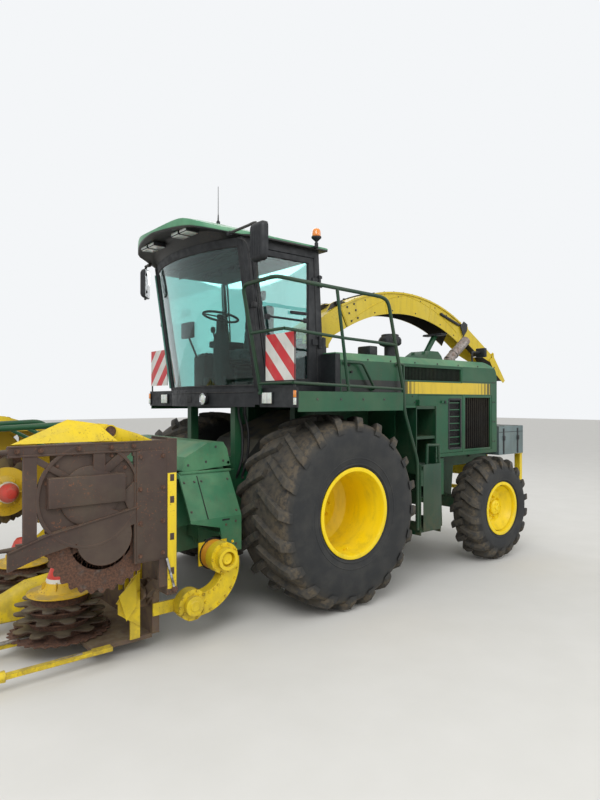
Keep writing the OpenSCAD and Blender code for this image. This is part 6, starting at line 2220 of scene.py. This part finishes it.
@dataclass
class Feeder:
    """The feed housing's light green covers: their seams, catches, screws and the rails under the lid."""

    lid_z: float = 1.335
    motor: Point = (1.01, 0.46, 1.19)

    def build(self) -> None:
        """Draws what lies on the covers, mirrored on the other side."""
        dark, green, screws = Bench(), Bench(), Bench()
        dark.plate([(0.786, 1.293), (0.807, 1.303), (1.010, 0.952), (0.990, 0.942)], "X", 1.300, 1.305)
        dark.block((1.085, 0.998, 0.918), (1.160, 1.0025, 0.932))
        green.block((0.945, 0.770, self.lid_z - 0.012), (1.462, 0.806, self.lid_z + 0.010), edge=0.004)
        green.block((1.430, -0.79, self.lid_z - 0.008), (1.452, 0.79, self.lid_z + 0.020), edge=0.004)
        green.rod((0.965, 0.70, 1.40), (0.965, 0.79, 1.40), 0.014, sides=14)
        green.turned([(0, 0), (0.09, 0), (0.11, 0.02), (0.11, 0.10), (0.08, 0.13), (0, 0.13)],
                     Matrix.Translation(self.motor) @ LEFTWARD, steps=40, edge=0.003)
        screws.bolts([(x, 0.790, z) for x, z in ((1.02, 1.42), (1.20, 1.42), (1.38, 1.40), (1.10, 1.55))],
                     (0, 1, 0), 0.008, 0.008)
        tilt = (0, 0.866, 0.5)
        screws.bolts([(x, 0.804 + 0.196 * t, 1.296 - 0.346 * t)
                      for x, t in ((1.0, 0.12), (1.0, 0.88), (1.27, 0.12), (1.34, 0.12), (1.44, 0.12),
                                   (1.44, 0.80))], tilt, 0.008, 0.008)
        screws.bolts([(1.02, 1.0, 0.70), (1.12, 1.0, 0.88), (1.02, 1.0, 0.90)], (0, 1, 0), 0.008, 0.008)
        dark.mirror().piece("feeder_seams", "header", TRIM, Slot.BLACK)
        green.mirror().piece("feeder_edges", "header", PALE, Slot.PALE_GREEN)
        screws.mirror().piece("feeder_screws", "header", CAST, Slot.CAST)


@dataclass
class Header:
    """The maize header: its folded wings' undersides, yellow covers, dividers, tubes, hoses and rotors."""

    face: float = 1.500
    disc: Point = (2.498, 1.330)

    def build(self) -> None:
        """Dresses both wings, then what stands between them."""
        for name, side, outer in (("inner_left", 1, False), ("inner_right", -1, False),
                                  ("outer_left", 1, True), ("outer_right", -1, True)):
            Rotor(name, side, outer).build()
        DriveCase().build()
        Feeder().build()
        for side in (1, -1):
            self.wing(side)
        self.dividers()
        self.push_tubes()

    def wing(self, side: int) -> None:
        """What is bolted and welded under one folded wing, drawn as on the left side and then flipped.

        Args:
            side: 1 for the left side, -1 for the right one.
        """
        name = side_name(side)
        steel, yellow, rod, bolt = Bench(), Bench(), Bench(), Bench()
        face, (disc_x, disc_z) = self.face, self.disc
        steel.block((2.150, face - 0.006, 1.612), (3.005, face + 0.006, 1.624), edge=0.002)
        steel.block((2.150, face - 0.006, 1.672), (3.005, face + 0.004, 1.682), edge=0.002)
        for x in (2.26, 2.46, 2.72, 2.92):
            steel.block((x, face - 0.010, 1.612), (x + 0.004, face + 0.002, 1.684), edge=0.001)
        steel.block((2.262, face - 0.004, 1.272), (2.778, face + 0.024, 1.468), edge=0.010)
        steel.block((1.952, face - 0.003, 0.830), (2.176, face + 0.006, 1.610), edge=0.004)
        for outline in (((2.200, 1.612), (2.290, 1.612), (2.470, 1.470), (2.380, 1.470)),
                        ((2.840, 1.612), (2.915, 1.612), (2.690, 1.465), (2.620, 1.465)),
                        ((2.186, 1.10), (2.186, 1.40), (2.262, 1.34), (2.262, 1.28))):
            steel.plate(outline, "Y", face - 0.02, face - 0.004, 0.002)
        ring = [(0.330, -0.004), (0.350, -0.004), (0.350, 0.020), (0.330, 0.020)]
        disc = Matrix.Translation((disc_x, face - 0.019, disc_z)) @ LEFTWARD
        steel.turned(ring, disc, steps=64, ring=True, edge=0.001)
        steel.turned([(0, 0.0), (0.20, 0.0), (0.20, 0.012), (0.17, 0.020), (0, 0.020)], disc, steps=48,
                     edge=0.001)
        steel.plate([(2.142, 1.228), (2.788, 1.104), (3.008, 1.029), (3.008, 1.019), (2.788, 1.094),
                     (2.142, 1.218)], "Y", face - 0.002, face + 0.008, 0.002)
        bolt.bolts([(x, face + 0.012, 1.650) for x in (2.20, 2.36, 2.58, 2.82, 2.96)], (0, 1, 0), 0.012,
                   0.012)
        bolt.bolts([(x, face + 0.006, z) for x in (1.975, 2.150) for z in (0.87, 1.10, 1.34, 1.57)],
                   (0, 1, 0), 0.012, 0.012)
        arc = [math.radians(a) for a in range(20, 170, 25)]
        bolt.bolts([(disc_x + 0.30 * math.cos(a), face - 0.019, disc_z + 0.30 * math.sin(a)) for a in arc],
                   (0, 1, 0), 0.010, 0.010)
        yellow.plate([(1.925, 1.640), (1.97, 1.660), (2.116, 1.727), (2.351, 1.803), (2.41, 1.809),
                      (2.50, 1.790), (2.50, 1.684), (1.925, 1.634)], "Y", 1.392, 1.400, 0.002)
        nose = (2.985, 1.46, 1.690)
        for foot, top in (((2.41, 1.400, 1.806), (2.70, 1.40, 1.772)),
                          ((2.30, 1.470, 1.688), (2.41, 1.400, 1.806)),
                          ((2.599, 1.34, 1.838), (2.41, 1.400, 1.806))):
            yellow.loft([[Vector((x, y - thick, z)) for x, y, z in (nose, foot, top)]
                         for thick in (0, 0.004)])
        yellow.turned([(0.040, -0.006), (0.048, -0.006), (0.048, 0.008), (0.040, 0.008)],
                      Matrix.Translation((2.325, 1.402, 1.750)) @ LEFTWARD, ring=True, steps=32)
        yellow.block((1.866, face - 0.002, 0.595), (1.937, face + 0.003, 1.440), edge=0.001)
        for z in (0.70, 0.95, 1.22, 1.38):
            steel.block((1.885, face, z), (1.918, face + 0.0045, z + 0.05), edge=0.001)
        rod.rod((1.950, face + 0.012, 0.830), (1.885, face + 0.012, 0.590), 0.010, sides=20)
        bolt.rod((2.325, 1.400, 1.750), (2.325, 1.4035, 1.750), 0.039, sides=32)
        bolt.rod((1.885, face - 0.01, 0.590), (1.885, face + 0.024, 0.590), 0.022, sides=20, edge=0.002)
        benches = ((steel, "plates", WING, Slot.PRIMER), (yellow, "covers", HEADER_YELLOW, Slot.HEADER),
                   (rod, "rod", CHROME, Slot.CHROME), (bolt, "bolts", RUSTY, Slot.STEEL))
        for bench, kind, finish, slot in benches:
            if side < 0:
                bench.flipped()
            bench.piece(f"wing_{kind}_{name}", f"wing_{name}", finish, slot)

    @staticmethod
    def snout(x: float, wide: float, low: float, high: float) -> list[Vector]:
        """One arched section of a divider's sheet.

        Args:
            x: its place along the machine.
            wide: its width at the foot.
            low: height of its foot.
            high: height of its top.
        Returns:
            Its points.
        """
        return [Vector((x, wide * math.cos(a) * 0.5, low + (high - low) * max(0.0, math.sin(a)) ** 0.7))
                for a in (math.pi * k / 12 for k in range(13))]

    def dividers(self) -> None:
        """Sheet cones over the crop points, worn bright at their tips, with guides and stalk bars."""
        yellow, bright = Bench(), Bench()
        sections = ((1.99, 0.16, 0.14, 0.44), (2.20, 0.20, 0.14, 0.47), (2.52, 0.20, 0.135, 0.43),
                    (2.80, 0.14, 0.120, 0.30), (3.02, 0.08, 0.105, 0.18))
        yellow.loft([self.snout(*section) for section in sections])
        bright.turned([(0.044, 0.0), (0.038, 0.06), (0.010, 0.335), (0, 0.34)],
                      Matrix.Translation((2.942, 0, 0.118)) @ FORWARD, steps=24)
        for side in (1, -1):
            for y, z, reach in ((0.52, 0.125, 3.26), (0.60, 0.150, 3.20), (1.12, 0.118, 3.27)):
                bright.tube([(2.42, side * y, z + 0.01), (2.70, side * y, z),
                             (3.0, side * (y + 0.005), z - 0.004), (reach, side * (y + 0.008), z - 0.010)],
                            0.012, 10)
            for y, outline in ((1.108, [(1.972, 0.50), (2.150, 0.445), (2.150, 0.35), (1.972, 0.22)]),
                               (1.150, [(2.02, 0.62), (2.16, 0.50), (2.10, 0.30), (2.02, 0.40)])):
                low, high = sorted((side * y, side * (y + 0.006)))
                yellow.plate(outline, "Y", low, high, 0.001)
            yellow.side_block(side, (2.02, 1.112, 0.40), (2.045, 1.152, 0.46))
        yellow.piece("divider_sheets", "header", HEADER_YELLOW, Slot.HEADER)
        bright.piece("stalk_bars", "header", POLISHED, Slot.STEEL)

    def push_tubes(self) -> None:
        """The push bar's bent tubes with their braces, and the hoses that cross to the wings."""
        bench, hose, yellow = Bench(), Bench(), Bench()
        for side in (1, -1):
            y = side * 0.43
            bench.tube(bent([(1.892, y, 1.10), (1.892, y, 1.33), (2.25, y, 1.772), (2.90, y, 1.745),
                             (2.96, y, 1.695)], 0.09), 0.024, 14, 1)
            bench.tube([(2.62, y, 1.752), (2.20, y, 1.52), (1.955, y, 1.405)], 0.016, 12, 1)
            bench.side_block(side, (1.86, 0.40, 1.08), (1.868, 0.46, 1.28), 0.002)
            hose.tube([(1.70, side * 0.36, 1.28), (1.76, side * 0.50, 1.38), (1.84, side * 0.78, 1.40),
                       (1.86, side * 1.02, 1.30), (1.88, side * 1.16, 1.02), (1.90, side * 1.30, 0.80)],
                      0.011)
            yellow.side_block(side, (1.86, 0.48, 1.19), (1.872, 1.02, 1.30), 0.002)
            for y in (0.50, 0.63, 0.76, 0.89):
                yellow.side_block(side, (1.858, y, 0.34), (1.895, y + 0.012, 1.19), 0.001)
        bench.rod((2.90, -0.64, 1.745), (2.90, 0.64, 1.745), 0.021, sides=16, edge=0.002)
        bench.piece("push_tubes", "header", GREEN, Slot.GREEN, ("push_bar",))
        hose.piece("wing_hoses", "header", HOSE, Slot.BLACK)
        yellow.piece("rear_wall_ribs", "header", HEADER_YELLOW, Slot.HEADER)


def keep_sizes() -> None:
    """Updates the view layer.
    """
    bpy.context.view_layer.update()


def main() -> None:
    """Builds the sub-assemblies in order round the frame."""
    logging.basicConfig(level=logging.INFO, format="%(name)s %(message)s")
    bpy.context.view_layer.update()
    dress_frame(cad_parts)
    soil = {"front": Tread("rubber_front_tyre", "1D1F21", 0.72, axle_z=0.915, outer=0.915),
            "rear": Tread("rubber_rear_tyre", "1D1F21", 0.72, axle_x=-2.7, axle_z=0.635, outer=0.635)}
    for side in (1, -1):
        Wheel("front", side, x=0.0, track=2.23, radius=0.915, width=0.77, seat=0.406, lugs=20, disc=-0.235,
              boss=0.130, bolts=10, tread=soil["front"]).build()
        Wheel("rear", side, x=-2.7, track=2.28, radius=0.635, width=0.40, seat=0.305, lugs=18, disc=0.02,
              boss=0.092, bolts=8, tread=soil["rear"]).build()
    Lamps().build()
    Mirrors().build()
    Cab().build()
    Roof().build()
    Rails().build()
    Body().build()
    Grilles().build()
    Spout().build()
    Header().build()
    Studio().build()
    keep_sizes()


if __name__ == "__main__":
    main()
